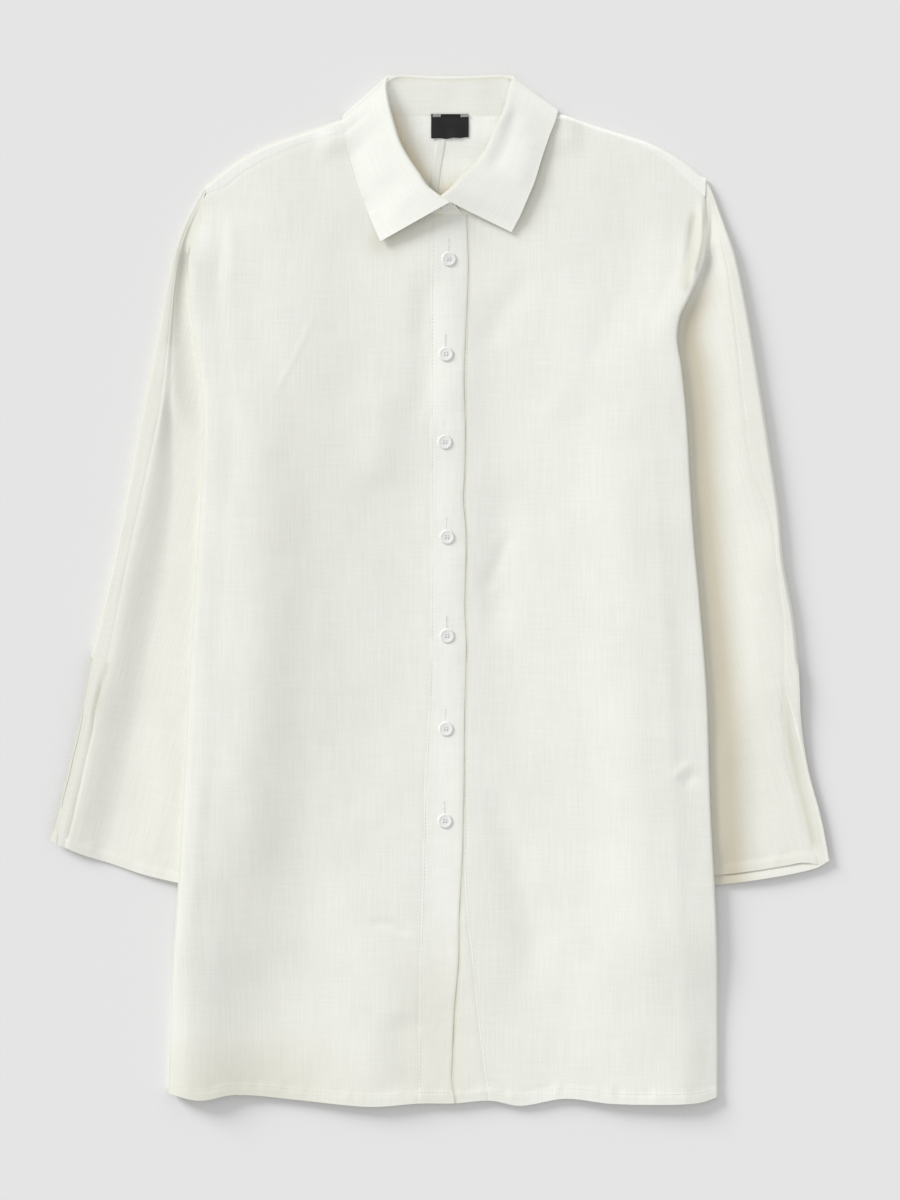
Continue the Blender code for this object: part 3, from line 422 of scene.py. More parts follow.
print("Length along the left sleeve's fold:", round(Line([(r.x, r.y) for r in LEFT_SLEEVE]).lengths[-1]))

# %% [markdown]
# ## Layers and broad folds
# The height of the front is built up like the real pile of cloth. The back lies on the table, or on a
# sleeve or the collar where one is tucked under it. Air and the broad folds lie between the back and the
# front. A fold is a long ridge with a bell-shaped section, highest at the hem, where nothing holds the
# cloth down. Under a low lamp a few millimetres of height are enough to show.

# %% Height of the front
UNDER_BACK = 0.7
COLLAR_UNDER_BACK = 1.6
BAND_TOP = 2.5
WALL = 1.0
SEAM = 0.1
PLACKET_RISE = 0.5
# Where a sleeve begins to lift the body above the underarm, and where the body is down again below the cuff
LIFT_ABOVE, LIFT_LENGTH = 76.0, 58.0
SINK_BELOW, SINK_LENGTH = 125.0, 90.0
# One row of a fold: its crest, its height there, and how wide its two flanks are
Crest = namedtuple("Crest", "y x height towards_right towards_left")
FOLDS = {
    "right side": [Crest(*row) for row in [
        (430, -186, 0.0, 34, 80), (380, -190, 0.6, 34, 80), (330, -191, 2.4, 38, 90),
        (280, -190, 4.2, 40, 100), (200, -188, 5.8, 42, 118), (130, -188, 6.5, 42, 118),
        (0, -193, 7.0, 40, 108), (-120, -205, 7.4, 38, 88), (-200, -217, 7.7, 34, 66),
        (-280, -226, 8.0, 32, 48), (-360, -230, 8.0, 32, 45), (-480, -232, 7.0, 32, 50)]],
    "right hollow": [Crest(*row) for row in [
        (400, -150, 0.0, 38, 62), (340, -150, 0.6, 38, 62), (280, -150, 1.8, 38, 62),
        (200, -148, 2.4, 38, 62), (100, -148, 2.2, 38, 60), (20, -152, 1.8, 38, 58),
        (-80, -158, 1.6, 38, 56), (-200, -166, 1.6, 36, 52), (-300, -176, 0.9, 36, 50),
        (-400, -184, 0.0, 36, 50), (-480, -184, 0.0, 36, 50)]],
    "right middle": [Crest(*row) for row in [
        (320, -50, 0.0, 30, 30), (240, -50, 0.2, 32, 30), (170, -56, 0.9, 34, 30), (60, -66, 0.6, 36, 30),
        (-60, -66, 0.6, 38, 36), (-180, -64, 1.0, 50, 48), (-300, -64, 1.9, 60, 54), (-400, -64, 3.2, 60, 58),
        (-480, -66, 3.8, 60, 58)]],
    "placket": [Crest(*row) for row in [
        (400, 12, 0.0, 18, 20), (330, 12, 0.6, 18, 20), (200, 16, 1.4, 20, 30), (60, 16, 1.8, 20, 34),
        (-60, 18, 1.8, 22, 32), (-150, 20, 1.8, 22, 42), (-260, 26, 2.0, 26, 54), (-380, 28, 1.6, 28, 60),
        (-480, 28, 1.2, 28, 60)]],
    "left middle": [Crest(*row) for row in [
        (430, 120, 0.0, 40, 50), (330, 120, 1.0, 40, 50), (190, 140, 1.0, 50, 45), (-100, 146, 1.3, 50, 45),
        (-300, 150, 1.3, 50, 45), (-480, 152, 1.6, 45, 45)]],
    "left side": [Crest(*row) for row in [
        (430, 196, 0.0, 80, 34), (380, 196, 0.4, 80, 34), (330, 196, 1.2, 95, 32), (280, 195, 2.0, 105, 28),
        (200, 196, 3.2, 110, 27), (130, 198, 4.0, 115, 27), (0, 203, 4.6, 115, 27), (-150, 211, 4.9, 110, 28),
        (-300, 219, 5.2, 90, 30), (-480, 224, 5.6, 65, 32)]],
}


def lifted_by_sleeve(x, y):
    """1 where a sleeve lies under the body, and 0 above the underarm and below the cuff."""
    start = np.where(np.asarray(x) < 0, RIGHT_UNDERARM[0].y, LEFT_UNDERARM[0].y)
    end = np.where(np.asarray(x) < 0, RIGHT_UNDERARM[-1].y, LEFT_UNDERARM[-1].y)
    return smooth((start + LIFT_ABOVE - y) / LIFT_LENGTH) * smooth((y - end + SINK_BELOW) / SINK_LENGTH)


def back_under(x, y):
    """Underside of the back, which the sleeves and the collar lift off the table."""
    fade = 1 - smooth((inside_edge(x, y) - hidden_width(x, y) - 8) / 62)
    over_sleeve = (sleeve_under(x, y) + UNDER_BACK) * lifted_by_sleeve(x, y) * fade
    fold_y = np.where(np.asarray(x) < 0, line_y(RIGHT_SHOULDER, x), line_y(LEFT_SHOULDER, x))
    reach_y = np.minimum(BACK_NECK_Y, fold_y)
    over_collar = (COLLAR_UNDER_BACK * smooth((y - reach_y + 40) / 24)
                   * smooth((128 - np.abs(np.asarray(x) - 10)) / 20))
    return np.maximum(over_sleeve, over_collar)


def folds(x, y):
    height = 0.0
    for rows in FOLDS.values():
        offset = x - column(rows, "y", "x", y)
        width = np.where(offset < 0, column(rows, "y", "towards_right", y),
                         column(rows, "y", "towards_left", y))
        height = height + column(rows, "y", "height", y) * np.exp(-(offset / width) ** 2)
    return height


print("Height of the folds at the hem:", {name: round(float(folds(rows[-1].x, -470)), 1)
                                          for name, rows in FOLDS.items()})

# %% [markdown]
# ## Creases and rumples
# Linen keeps every crease. Each main one is listed: a line of points, a height and a width. A ridge has
# a positive height and a trough a negative one, and both fade out towards their ends. Between them lies a
# fine rumple with no direction of its own. It is made from a lattice of random heights, joined by
# S-curves, with three sizes added together.

# %% Creases
Crease = namedtuple("Crease", "points height width")


def near(points, x, y):
    """Distance of each place from a line of points, and the share of the line that lies beside it."""
    best = np.full(np.shape(x), 1e9)
    share = np.zeros(np.shape(x))
    lengths = Line(points).lengths
    for k, ((ax, ay), (bx, by)) in enumerate(zip(points, points[1:])):
        span = lengths[k + 1] - lengths[k]
        t = np.clip(((x - ax) * (bx - ax) + (y - ay) * (by - ay)) / span**2, 0.0, 1.0)
        distance = np.hypot(x - ax - t * (bx - ax), y - ay - t * (by - ay))
        closer = distance < best
        best = np.where(closer, distance, best)
        share = np.where(closer, (lengths[k] + t * span) / lengths[-1], share)
    return best, share


def creased(creases, x, y):
    """Adds up a list of creases."""
    height = np.zeros(np.shape(x))
    for crease in creases:
        distance, share = near(crease.points, x, y)
        taper = smooth(share * 4) * smooth((1 - share) * 4)
        height += crease.height * taper * np.exp(-(distance / crease.width) ** 2)
    return height


def lattice(x, y, size, seed):
    """Smooth random heights between -1 and 1, one for each cell of this size."""
    table = np.random.RandomState(seed).uniform(-1, 1, (64, 64))
    gx, gy = x / size + 17.3, y / size + 9.1
    ix, iy = np.floor(gx).astype(int), np.floor(gy).astype(int)
    fx, fy = smooth(gx - ix), smooth(gy - iy)
    corner = [table[(ix + a) % 64, (iy + b) % 64] for a, b in ((0, 0), (1, 0), (0, 1), (1, 1))]
    return mix(mix(corner[0], corner[1], fx), mix(corner[2], corner[3], fx), fy)


def rumple(x, y, seed, size=1.0):
    """The soft unevenness of washed cloth, in millimetres."""
    turned_x, turned_y = 0.8 * x + 0.6 * y, -0.6 * x + 0.8 * y
    return size * (0.42 * lattice(turned_x, turned_y * 0.7, 58, seed)
                   + 0.16 * lattice(x, y * 0.8, 26, seed + 1) + 0.05 * lattice(turned_x, y, 11, seed + 2))


FRONT_CREASES = [
    Crease([(-113, 262), (-134, 216), (-158, 172)], 0.22, 2.4),
    Crease([(-66, -308), (-45, -312), (-26, -321)], -0.5, 4.0),
    Crease([(216, -178), (222, -170), (229, -164), (236, -161)], 0.55, 3.6),
    Crease([(226, -184), (233, -176), (238, -168)], -0.6, 4.0),
    Crease([(237, 350), (235, 330), (232, 306), (229, 284)], -1.7, 3.6),
    Crease([(243, 366), (244, 345), (243, 325), (238, 303), (231, 284)], 1.3, 3.2),
    Crease([(-206, 352), (-203, 320), (-205, 290), (-203, 262)], -0.35, 6.0),
    Crease([(-196, 350), (-192, 315), (-194, 280)], 0.3, 6.0),
    Crease([(-12, 305), (-13, 240), (-14, 150)], -1.3, 13.0),
    Crease([(58, 110), (56, 20), (52, -60)], -1.2, 17.0),
    Crease([(70, 60), (52, 20), (40, -10)], -0.5, 7.0),
    Crease([(-40, -390), (-33, -440), (-30, -480)], -1.4, 20.0),
    Crease([(-44, 200), (-50, 150), (-60, 90)], 0.9, 20.0),
    Crease([(45, -170), (75, -280), (95, -380)], -1.2, 17.0),
    Crease([(90, 300), (60, 260), (38, 215)], -0.6, 12.0),
]
print("Creases on the front:", len(FRONT_CREASES))


# %% Relief of the front
def hem_band(distance, along, seed):
    """The hem is folded over twice: a raised band with a row of small puckers along its stitches."""
    band = smooth((10.2 - distance) / 1.6) * 0.38
    pucker = lattice(along, along * 0.0, 7.0, seed) * np.exp(-((distance - 9.6) / 5.0) ** 2) * 0.30
    return band + pucker


def seam_dip(distance, along, seed, deep=0.5, pucker=0.16):
    """Cloth rolls down into a seam, and is drawn up into small puckers beside it."""
    dip = -deep * np.exp(-(distance / 1.7) ** 2)
    return dip + pucker * lattice(along, distance * 0.2, 8.0, seed) * np.exp(-(distance / 7.0) ** 2)


def front_relief(x, y):
    height = creased(FRONT_CREASES, x, y) + 1.3 * rumple(x, y, 11)
    height = height + hem_band(y - hem_y(x), x, 31)
    for line, seed in ((PLACKET_SEAM, 41), (BAND_SEAM, 43)):
        height = height + 0.2 * seam_dip(np.abs(x - line_x(line, y)), y, seed)
    for line, seed in ((RIGHT_SHOULDER_SEAM, 45), (LEFT_SHOULDER_SEAM, 47)):
        distance, share = near(line, x, y)
        height = height + 0.25 * seam_dip(distance, share * 160, seed)
    return height


def front_top(x, y):
    """Top of the front at the button band's level."""
    air = 1.2 + 1.7 * smooth((y - 290) / 110)
    return BAND_TOP + back_under(x, y) + air + folds(x, y) + front_relief(x, y)


def right_front_top(x, y):
    """The right front comes up to the placket, which lies pressed on the button band."""
    return front_top(x, y) + PLACKET_RISE * (1 - smooth((line_x(PLACKET_SEAM, y) - x) / 60))


def turned_down(x, y, top, rise, low_side):
    """Lets a panel run round to the side seam: rise goes from 0 at the seam to 1 further in."""
    sign = np.where(np.asarray(x) < 0, -1, 1)
    closed = smooth(beside(x, y, "closed"))
    edge_x = sign * beside(x, y, "edge")
    seam_z = mix(back_under(edge_x, y), front_top(edge_x, y), 0.5)
    at_seam = seam_z - SEAM / 2 if low_side else seam_z + SEAM / 2
    return mix(mix(top, at_seam, closed), top, rise)


print("Front at the third button:", round(float(front_top(5.0, 137.0)), 2), "mm above the table")

# %% [markdown]
# ## From a rule to a shell of cloth
# Every piece is a grid. A rule says where the point at column u and row v of its outer face lies. The
# grid gets a map of its own grain, in metres of cloth, so that the weave follows the threads and not
# the picture. A Solidify modifier then gives the cloth its real thickness, inwards from that face.

# %% Cloth maker
SHIRT = bpy.data.collections.new("dressed_shirt")
bpy.context.scene.collection.children.link(SHIRT)
FINE = 1.0 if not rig.quick() else 3.0


def steps(length, size, least=3):
    """How many points a length needs so that they are about size apart."""
    return max(least, int(round(length / (size * FINE))) + 1)


def arc_map(points):
    """Threads that follow the grid: mean lengths along its rows and along its columns."""
    across = np.linalg.norm(np.diff(points, axis=1), axis=2).mean(axis=0)
    along = np.linalg.norm(np.diff(points, axis=0), axis=2).mean(axis=1)
    u = np.concatenate([[0.0], np.cumsum(across)])
    v = np.concatenate([[0.0], np.cumsum(along)])
    return np.stack(np.meshgrid(u, v), axis=2)


def plan_map(points, lean):
    """Threads that run straight up the shirt, or down a sleeve that leans by this angle."""
    c, s = math.cos(math.radians(lean)), math.sin(math.radians(lean))
    x, y, z = points[..., 0], points[..., 1], points[..., 2]
    return np.stack([x * c + y * s + 0.7 * z, -x * s + y * c], axis=2)


def grid_mesh(name, points, grain, tint=None):
    """Turns an array of points, rows by columns, into a mesh of quads."""
    rows, columns = points.shape[:2]
    corner = np.arange((rows - 1) * columns).reshape(rows - 1, columns)[:, :-1].ravel()
    quads = np.stack([corner, corner + 1, corner + columns + 1, corner + columns], axis=1)
    mesh = bpy.data.meshes.new(name)
    mesh.vertices.add(rows * columns)
    mesh.vertices.foreach_set("co", ((points.reshape(-1, 3) + TO_MIDDLE) * MM).ravel())
    mesh.loops.add(quads.size)
    mesh.loops.foreach_set("vertex_index", quads.ravel())
    mesh.polygons.add(len(quads))
    mesh.polygons.foreach_set("loop_start", np.arange(0, quads.size, 4))
    mesh.update(calc_edges=True)
    # The rim stays sharp, or its round shading would draw a bright line along every cut edge
    ends = np.empty(len(mesh.edges) * 2, dtype=np.int32)
    mesh.edges.foreach_get("vertices", ends)
    at_row, at_column = ends.reshape(-1, 2) // columns, ends.reshape(-1, 2) % columns
    rim = [(at == last).all(axis=1) for at, last in ((at_row, 0), (at_row, rows - 1), (at_column, 0),
                                                     (at_column, columns - 1))]
    mesh.edges.foreach_set("use_edge_sharp", np.any(rim, axis=0))
    layer = mesh.uv_layers.new(name="grain")
    layer.data.foreach_set("uv", (grain.reshape(-1, 2)[quads.ravel()] * MM).ravel())
    # Painted shade: a mask for each point, which the linen reads to paint the colour darker and towards tan
    shade = mesh.attributes.new("tucked", "FLOAT", "POINT")
    values = np.zeros(rows * columns) if tint is None else np.asarray(tint, float).ravel()
    shade.data.foreach_set("value", values)
    mesh.shade_smooth()
    return mesh


def sew(name, across, along, place, material, thick=0.6, flip=False, lean=None, tint=None, even=True):
    """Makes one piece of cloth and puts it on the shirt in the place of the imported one."""
    u, v = np.meshgrid(np.array(across, float), np.array(along, float))
    points = np.stack([np.broadcast_to(axis, u.shape) for axis in place(u, v)], axis=2)
    grain = arc_map(points) if lean is None else plan_map(points, lean)
    shade = None if tint is None else tint(points[..., 0], points[..., 1])
    mesh = grid_mesh("dressed_" + name, points, grain, shade)
    if flip:
        mesh.flip_normals()
    piece = bpy.data.objects.new("dressed_" + name, mesh)
    SHIRT.objects.link(piece)
    wall = piece.modifiers.new("thickness", "SOLIDIFY")
    wall.thickness = thick * MM
    wall.offset = -1
    wall.use_even_offset = even
    mesh.materials.append(material)
    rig.ride(piece, "root")
    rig.replaces(piece, name)
    print(name, "has", len(mesh.polygons), "quads")
    return piece


# %% [markdown]
# ## Linen, from its threads up
# Linen yarn is uneven: thick slubs come and go along it, and they show as short soft streaks, most of
# them up the shirt and some across it. One node group makes the weave and the slubs from the grain map,
# and every linen finish uses it. It puts out a height for the bump and two masks, for colour and for
# roughness. Stretching a noise along one direction turns its blobs into streaks.

# %% Node helpers
def add(tree, kind, place, **values):
    """A node at a place, with its properties set."""
    node = tree.nodes.new(kind)
    node.location = place
    for key, value in values.items():
        setattr(node, key, value)
    return node


def sums(tree, operation, first, second, place):
    """A Math node. Each side is a socket or a number."""
    node = add(tree, "ShaderNodeMath", place, operation=operation)
    for socket, value in zip(node.inputs, (first, second)):
        if isinstance(value, (int, float)):
            socket.default_value = value
        elif value is not None:
            tree.links.new(value, socket)
    return node.outputs[0]


def new_group(name, inputs, outputs):
    group = bpy.data.node_groups.new(name, "ShaderNodeTree")
    for label, kind, value in inputs:
        socket = group.interface.new_socket(label, in_out="INPUT", socket_type=kind)
        if value is not None:
            socket.default_value = value
    for label, kind in outputs:
        group.interface.new_socket(label, in_out="OUTPUT", socket_type=kind)
    return group, add(group, "NodeGroupInput", (-1200, 0)), add(group, "NodeGroupOutput", (900, 0))


# %% Weave group
def stretched_noise(tree, source, scale, place, detail=2.0):
    """Noise whose cells are 1/scale millimetres long each way."""
    mapping = add(tree, "ShaderNodeMapping", place)
    mapping.inputs["Scale"].default_value = (scale[0], scale[1], 1.0)
    tree.links.new(source, mapping.inputs["Vector"])
    noise = add(tree, "ShaderNodeTexNoise", (place[0] + 180, place[1]), noise_dimensions="2D")
    noise.inputs["Scale"].default_value = 1.0
    noise.inputs["Detail"].default_value = detail
    noise.inputs["Roughness"].default_value = 0.55
    tree.links.new(mapping.outputs["Vector"], noise.inputs["Vector"])
    return noise.outputs["Fac"]


weave, weave_in, weave_out = new_group(
    "uneven linen weave",
    [("Grain", "NodeSocketVector", None), ("Threads per mm", "NodeSocketFloat", 1.45),
     ("Slubs", "NodeSocketFloat", 1.0), ("Weave Height", "NodeSocketFloat", 0.5)],
    [("Height", "NodeSocketFloat"), ("Streaks", "NodeSocketFloat"), ("Nap", "NodeSocketFloat")])
up_slubs = stretched_noise(weave, weave_in.outputs["Grain"], (0.55, 0.022), (-900, 300))
across_slubs = stretched_noise(weave, weave_in.outputs["Grain"], (0.026, 0.60), (-900, 60))
wander = stretched_noise(weave, weave_in.outputs["Grain"], (0.12, 0.12), (-900, -180))
parts = add(weave, "ShaderNodeSeparateXYZ", (-900, -420))
weave.links.new(weave_in.outputs["Grain"], parts.inputs["Vector"])
shift = sums(weave, "MULTIPLY", wander, 1.6, (-640, -180))
warp_at = sums(weave, "ADD", parts.outputs["X"], shift, (-460, -300))
weft_at = sums(weave, "ADD", parts.outputs["Y"], shift, (-460, -460))
warp_turn = sums(weave, "MULTIPLY", warp_at, weave_in.outputs["Threads per mm"], (-280, -300))
weft_turn = sums(weave, "MULTIPLY", weft_at, weave_in.outputs["Threads per mm"], (-280, -460))
warp_wave = sums(weave, "SINE", sums(weave, "MULTIPLY", warp_turn, math.pi, (-100, -300)), None, (60, -300))
weft_wave = sums(weave, "SINE", sums(weave, "MULTIPLY", weft_turn, math.pi, (-100, -460)), None, (60, -460))
over = sums(weave, "MULTIPLY", warp_wave, weft_wave, (220, -380))
over_share = sums(weave, "MULTIPLY_ADD", over, 0.5, (380, -380))
over_share.node.inputs[2].default_value = 0.5
warp_size = sums(weave, "ABSOLUTE", warp_wave, None, (220, -240))
warp_high = sums(weave, "MULTIPLY", warp_size, over_share, (540, -240))
under_share = sums(weave, "SUBTRACT", 1.0, over_share, (540, -420))
weft_size = sums(weave, "ABSOLUTE", weft_wave, None, (220, -540))
weft_high = sums(weave, "MULTIPLY", weft_size, under_share, (540, -540))
threads = sums(weave, "MULTIPLY", sums(weave, "ADD", warp_high, weft_high, (640, -300)),
               weave_in.outputs["Weave Height"], (760, -300))
streaks = sums(weave, "ADD", sums(weave, "MULTIPLY", up_slubs, 0.6, (-460, 300)),
               sums(weave, "MULTIPLY", across_slubs, 0.4, (-460, 60)), (-280, 200))
slub_height = sums(weave, "MULTIPLY", streaks, weave_in.outputs["Slubs"], (-100, 200))
weave.links.new(sums(weave, "ADD", threads, slub_height, (760, 100)), weave_out.inputs["Height"])
weave.links.new(streaks, weave_out.inputs["Streaks"])
weave.links.new(across_slubs, weave_out.inputs["Nap"])
print("Nodes in the weave group:", len(weave.nodes))

# %% [markdown]
# ## Cloth that faces the lamp
# A rounded edge that faces a low lamp would glare, because it takes the light almost square on. On the
# real shirt such edges stay about as bright as the cloth beside them. This group says how far the cloth
# is turned to the lamp, from 0 at one limit to 1 at the other, and the linen's colour is painted darker
# with it: a painted shade on the faces that are turned to the lamp.

# %% Group for cloth that faces the lamp
GLARE_FROM, GLARE_TO, GLARE_SHARE = 0.36, 0.86, 0.62
# The painted shade colour that the linen leans towards where it faces the lamp
GLARE_PAINTED_SHADE = (0.42, 0.42, 0.385)
turned, turned_in, turned_out = new_group(
    "turned to the lamp", [("From", "NodeSocketFloat", None), ("To", "NodeSocketFloat", None)],
    [("Share", "NodeSocketFloat")])
face_way = add(turned, "ShaderNodeNewGeometry", (-400, 0))
facing_lamp = add(turned, "ShaderNodeVectorMath", (-200, 0), operation="DOT_PRODUCT")
facing_lamp.inputs[1].default_value = -lamp_way.normalized()
turned.links.new(face_way.outputs["Normal"], facing_lamp.inputs[0])
between = add(turned, "ShaderNodeMapRange", (0, 0), interpolation_type="SMOOTHSTEP")
turned.links.new(facing_lamp.outputs["Value"], between.inputs["Value"])
turned.links.new(turned_in.outputs["From"], between.inputs["From Min"])
turned.links.new(turned_in.outputs["To"], between.inputs["From Max"])
turned.links.new(between.outputs["Result"], turned_out.inputs["Share"])
level_share = (-lamp_way.normalized()).z
print("Level cloth faces the lamp by", round(level_share, 3), "and gets darker from", GLARE_FROM)

# %% [markdown]
# ## The shirt's linen
# Thin linen lets some light through, and turns it warm on the way, so the real shade beneath an edge of
# this shirt is tan and not grey. Here that shade is painted: a mask that each piece carries says where
# the cloth lies in shade, and the colour is painted darker and a little towards tan there. Sheen is the
# soft light on the fibre ends. Its weight is the same all over, so it is set on the shader itself.


# %% Linen finish
THREAD_DEPTH = 0.00022


def colour_between(tree, factor, low, high, place):
    """A colour that goes from low to high with a factor."""
    blend = add(tree, "ShaderNodeMix", place, data_type="RGBA")
    tree.links.new(factor, blend.inputs["Factor"])
    for socket, colour in ((blend.inputs[6], low), (blend.inputs[7], high)):
        if isinstance(colour, tuple):
            socket.default_value = (*colour, 1)
        else:
            tree.links.new(colour, socket)
    return blend.outputs[2]


def stretch(tree, value, low, high, to_low, to_high, place):
    """Maps a value's range onto another, and stays inside it."""
    node = add(tree, "ShaderNodeMapRange", place)
    tree.links.new(value, node.inputs["Value"])
    for socket, number in zip(node.inputs[1:5], (low, high, to_low, to_high)):
        socket.default_value = number
    return node.outputs["Result"]


def grain_in_mm(tree):
    source = add(tree, "ShaderNodeUVMap", (-1200, 0), uv_map="grain")
    scaled = add(tree, "ShaderNodeVectorMath", (-1020, 0), operation="SCALE")
    scaled.inputs["Scale"].default_value = 1000.0
    tree.links.new(source.outputs["UV"], scaled.inputs[0])
    return scaled.outputs["Vector"]


def linen(name, pale, deep, shade, threads_per_mm=1.45, slubs=1.0, rough=0.9):
    material = bpy.data.materials.new(name)
    material.use_nodes = True
    tree = material.node_tree
    shader = tree.nodes["Principled BSDF"]
    group = add(tree, "ShaderNodeGroup", (-820, 0), node_tree=weave)
    group.inputs["Threads per mm"].default_value = threads_per_mm
    group.inputs["Slubs"].default_value = slubs
    grain = grain_in_mm(tree)
    tree.links.new(grain, group.inputs["Grain"])
    clouds = stretched_noise(tree, grain, (0.018, 0.013), (-1020, 320), detail=3.0)
    streak_share = stretch(tree, group.outputs["Streaks"], 0.36, 0.64, 0.0, 1.0, (-600, 200))
    cloud_share = stretch(tree, clouds, 0.35, 0.65, 0.0, 1.0, (-600, 400))
    both = sums(tree, "MULTIPLY_ADD", streak_share, 0.7, (-420, 300))
    tree.links.new(sums(tree, "MULTIPLY", cloud_share, 0.3, (-420, 460)), both.node.inputs[2])
    plain = colour_between(tree, both, deep, pale, (-240, 300))
    # Painted shade: the colour goes darker and towards tan where the piece's painted shade mask is set
    tucked = add(tree, "ShaderNodeAttribute", (-420, 100), attribute_name="tucked")
    coloured = colour_between(tree, tucked.outputs["Fac"], plain, shade, (-60, 240))
    # Painted shade where the cloth faces the lamp, so that its turned edges don't glare
    glare = add(tree, "ShaderNodeGroup", (-420, -20), node_tree=turned)
    glare.inputs["From"].default_value = GLARE_FROM
    glare.inputs["To"].default_value = GLARE_TO
    glare_shade_share = sums(tree, "MULTIPLY", glare.outputs["Share"], GLARE_SHARE, (-240, -20))
    coloured = colour_between(tree, glare_shade_share, coloured, GLARE_PAINTED_SHADE, (60, 240))
    tree.links.new(coloured, shader.inputs["Base Color"])
    tree.links.new(stretch(tree, group.outputs["Nap"], 0.3, 0.7, rough - 0.06, rough + 0.05, (-240, 60)),
                   shader.inputs["Roughness"])
    bump = add(tree, "ShaderNodeBump", (-240, -160))
    bump.inputs["Strength"].default_value = 0.55
    bump.inputs["Distance"].default_value = THREAD_DEPTH
    tree.links.new(group.outputs["Height"], bump.inputs["Height"])
    tree.links.new(bump.outputs["Normal"], shader.inputs["Normal"])
    shader.inputs["Sheen Weight"].default_value = 0.12
    shader.inputs["Sheen Roughness"].default_value = 0.55
    shader.inputs["Specular IOR Level"].default_value = 0.22
    return material


# Painted shade colours: each linen is painted darker towards its own one where its shade mask is set
TAN_SHADE = (0.78, 0.69, 0.49)
OLIVE_SHADE = (0.67, 0.655, 0.545)
# The back, the stand and the collar are painted paler than the fronts, to offset the shade on them, and the sleeves a
# little darker, to tone down their lit faces: lit and shaded copies of one linen
body_linen = linen("washed linen", (0.853, 0.858, 0.802), (0.80, 0.804, 0.742), OLIVE_SHADE)
back_linen = linen("back linen", (0.9, 0.907, 0.853), (0.846, 0.853, 0.797), TAN_SHADE)
sleeve_linen = linen("sleeve linen", (0.846, 0.846, 0.782), (0.794, 0.794, 0.725), (0.60, 0.558, 0.435))
stand_linen = linen("stand linen", (0.925, 0.93, 0.868), (0.88, 0.885, 0.824), TAN_SHADE, slubs=0.8)
collar_linen = linen("collar linen", (0.905, 0.911, 0.852), (0.862, 0.868, 0.81), (0.57, 0.56, 0.45),
                     slubs=0.8)
stiff_linen = linen("lined linen", (0.85, 0.856, 0.80), (0.805, 0.811, 0.755), (0.70, 0.675, 0.555),
                    slubs=0.8)
finishes = (body_linen, back_linen, sleeve_linen, stand_linen, collar_linen, stiff_linen)
print("Linen finishes:", [m.name for m in finishes])

# %% [markdown]
# ## The two fronts
# Each front hangs between four lines: hem, side, centre and, at the top, the shoulder seam and then the
# neckline. Close to the side the columns crowd together, because there the cloth rolls over the edge and
# down to the side seam. Further in they are a little over two millimetres apart.

# %% Columns and edges of a body panel
TURN_AT = [0.0, 0.052, 0.216, 0.447, 0.730, 1.0]
RISES = [0.0, 0.3, 0.62, 0.91, 0.99, 1.0]
CLOSED_INSETS = [0.0, 0.04, 0.4, 1.2, 4.0, 10.0]
OPEN_INSETS = [0.0, 1.2, 2.6, 5.0, 9.0, 15.0]
BODY_WIDTH = 238.0
FRONT_LENGTH, BACK_LENGTH = 850.0, 860.0
SHOULDER_SHARE = 0.6
# The right front runs on a little beneath the placket, so that no gap shows between them
UNDERLAP = {-1: 1.0, 1: 0.0}
# How far a panel's edge is drawn down into a seam
FRONT_TUCK, SHOULDER_TUCK = 0.1, 0.08
BEND_REACH = 4.0
BEND_LENGTH = 11.0
NECK_CENTRE = Point(6, 410)


def body_columns(size):
    turning = [t for t in spread(steps(22, size, 6), -1.0, 0.0)][:-1]
    shoulder = spread(steps(BODY_WIDTH * 0.54, size), 15 / BODY_WIDTH, SHOULDER_SHARE)
    neck = spread(steps(BODY_WIDTH * 0.4, size), SHOULDER_SHARE, 1.0)[1:]
    return turning + shoulder + neck


def body_column(t, y, rows):
    """How far in a column lies, as a share of the width, and how far the panel has risen there."""
    s = np.clip(1 + t, 0.0, 1.0)
    closed = smooth(column(rows, "y", "closed", y))
    inset = mix(read(TURN_AT, OPEN_INSETS, s), read(TURN_AT, CLOSED_INSETS, s), closed)
    return np.where(t < 0, inset / BODY_WIDTH, t), np.where(t < 0, read(TURN_AT, RISES, s), 1.0)


def body_side(rows, sign, tip):
    foot = (sign * rows[-1].edge, float(hem_y(sign * rows[-1].edge)))
    return Line([foot] + [(sign * row.edge, row.y) for row in reversed(rows[:-1]) if row.y < tip[1] - 4]
                + [tuple(tip)])


def hem_between(start, end):
    return lambda u: (mix(start, end, u), hem_y(mix(start, end, u)))


def seam_point(seam, share):
    x = mix(seam[0].x, seam[-1].x, share)
    return x, line_y(seam, x)


# %% [markdown]
# ## The collar's table
# A section of the collar goes from the neck seam up the stand to the roll, and over it to the edge of the
# leaf. The turn says how far the roll has gone from facing up to facing down, because the back of this
# collar is folded under the shirt. The fronts need the table too, for their necklines.

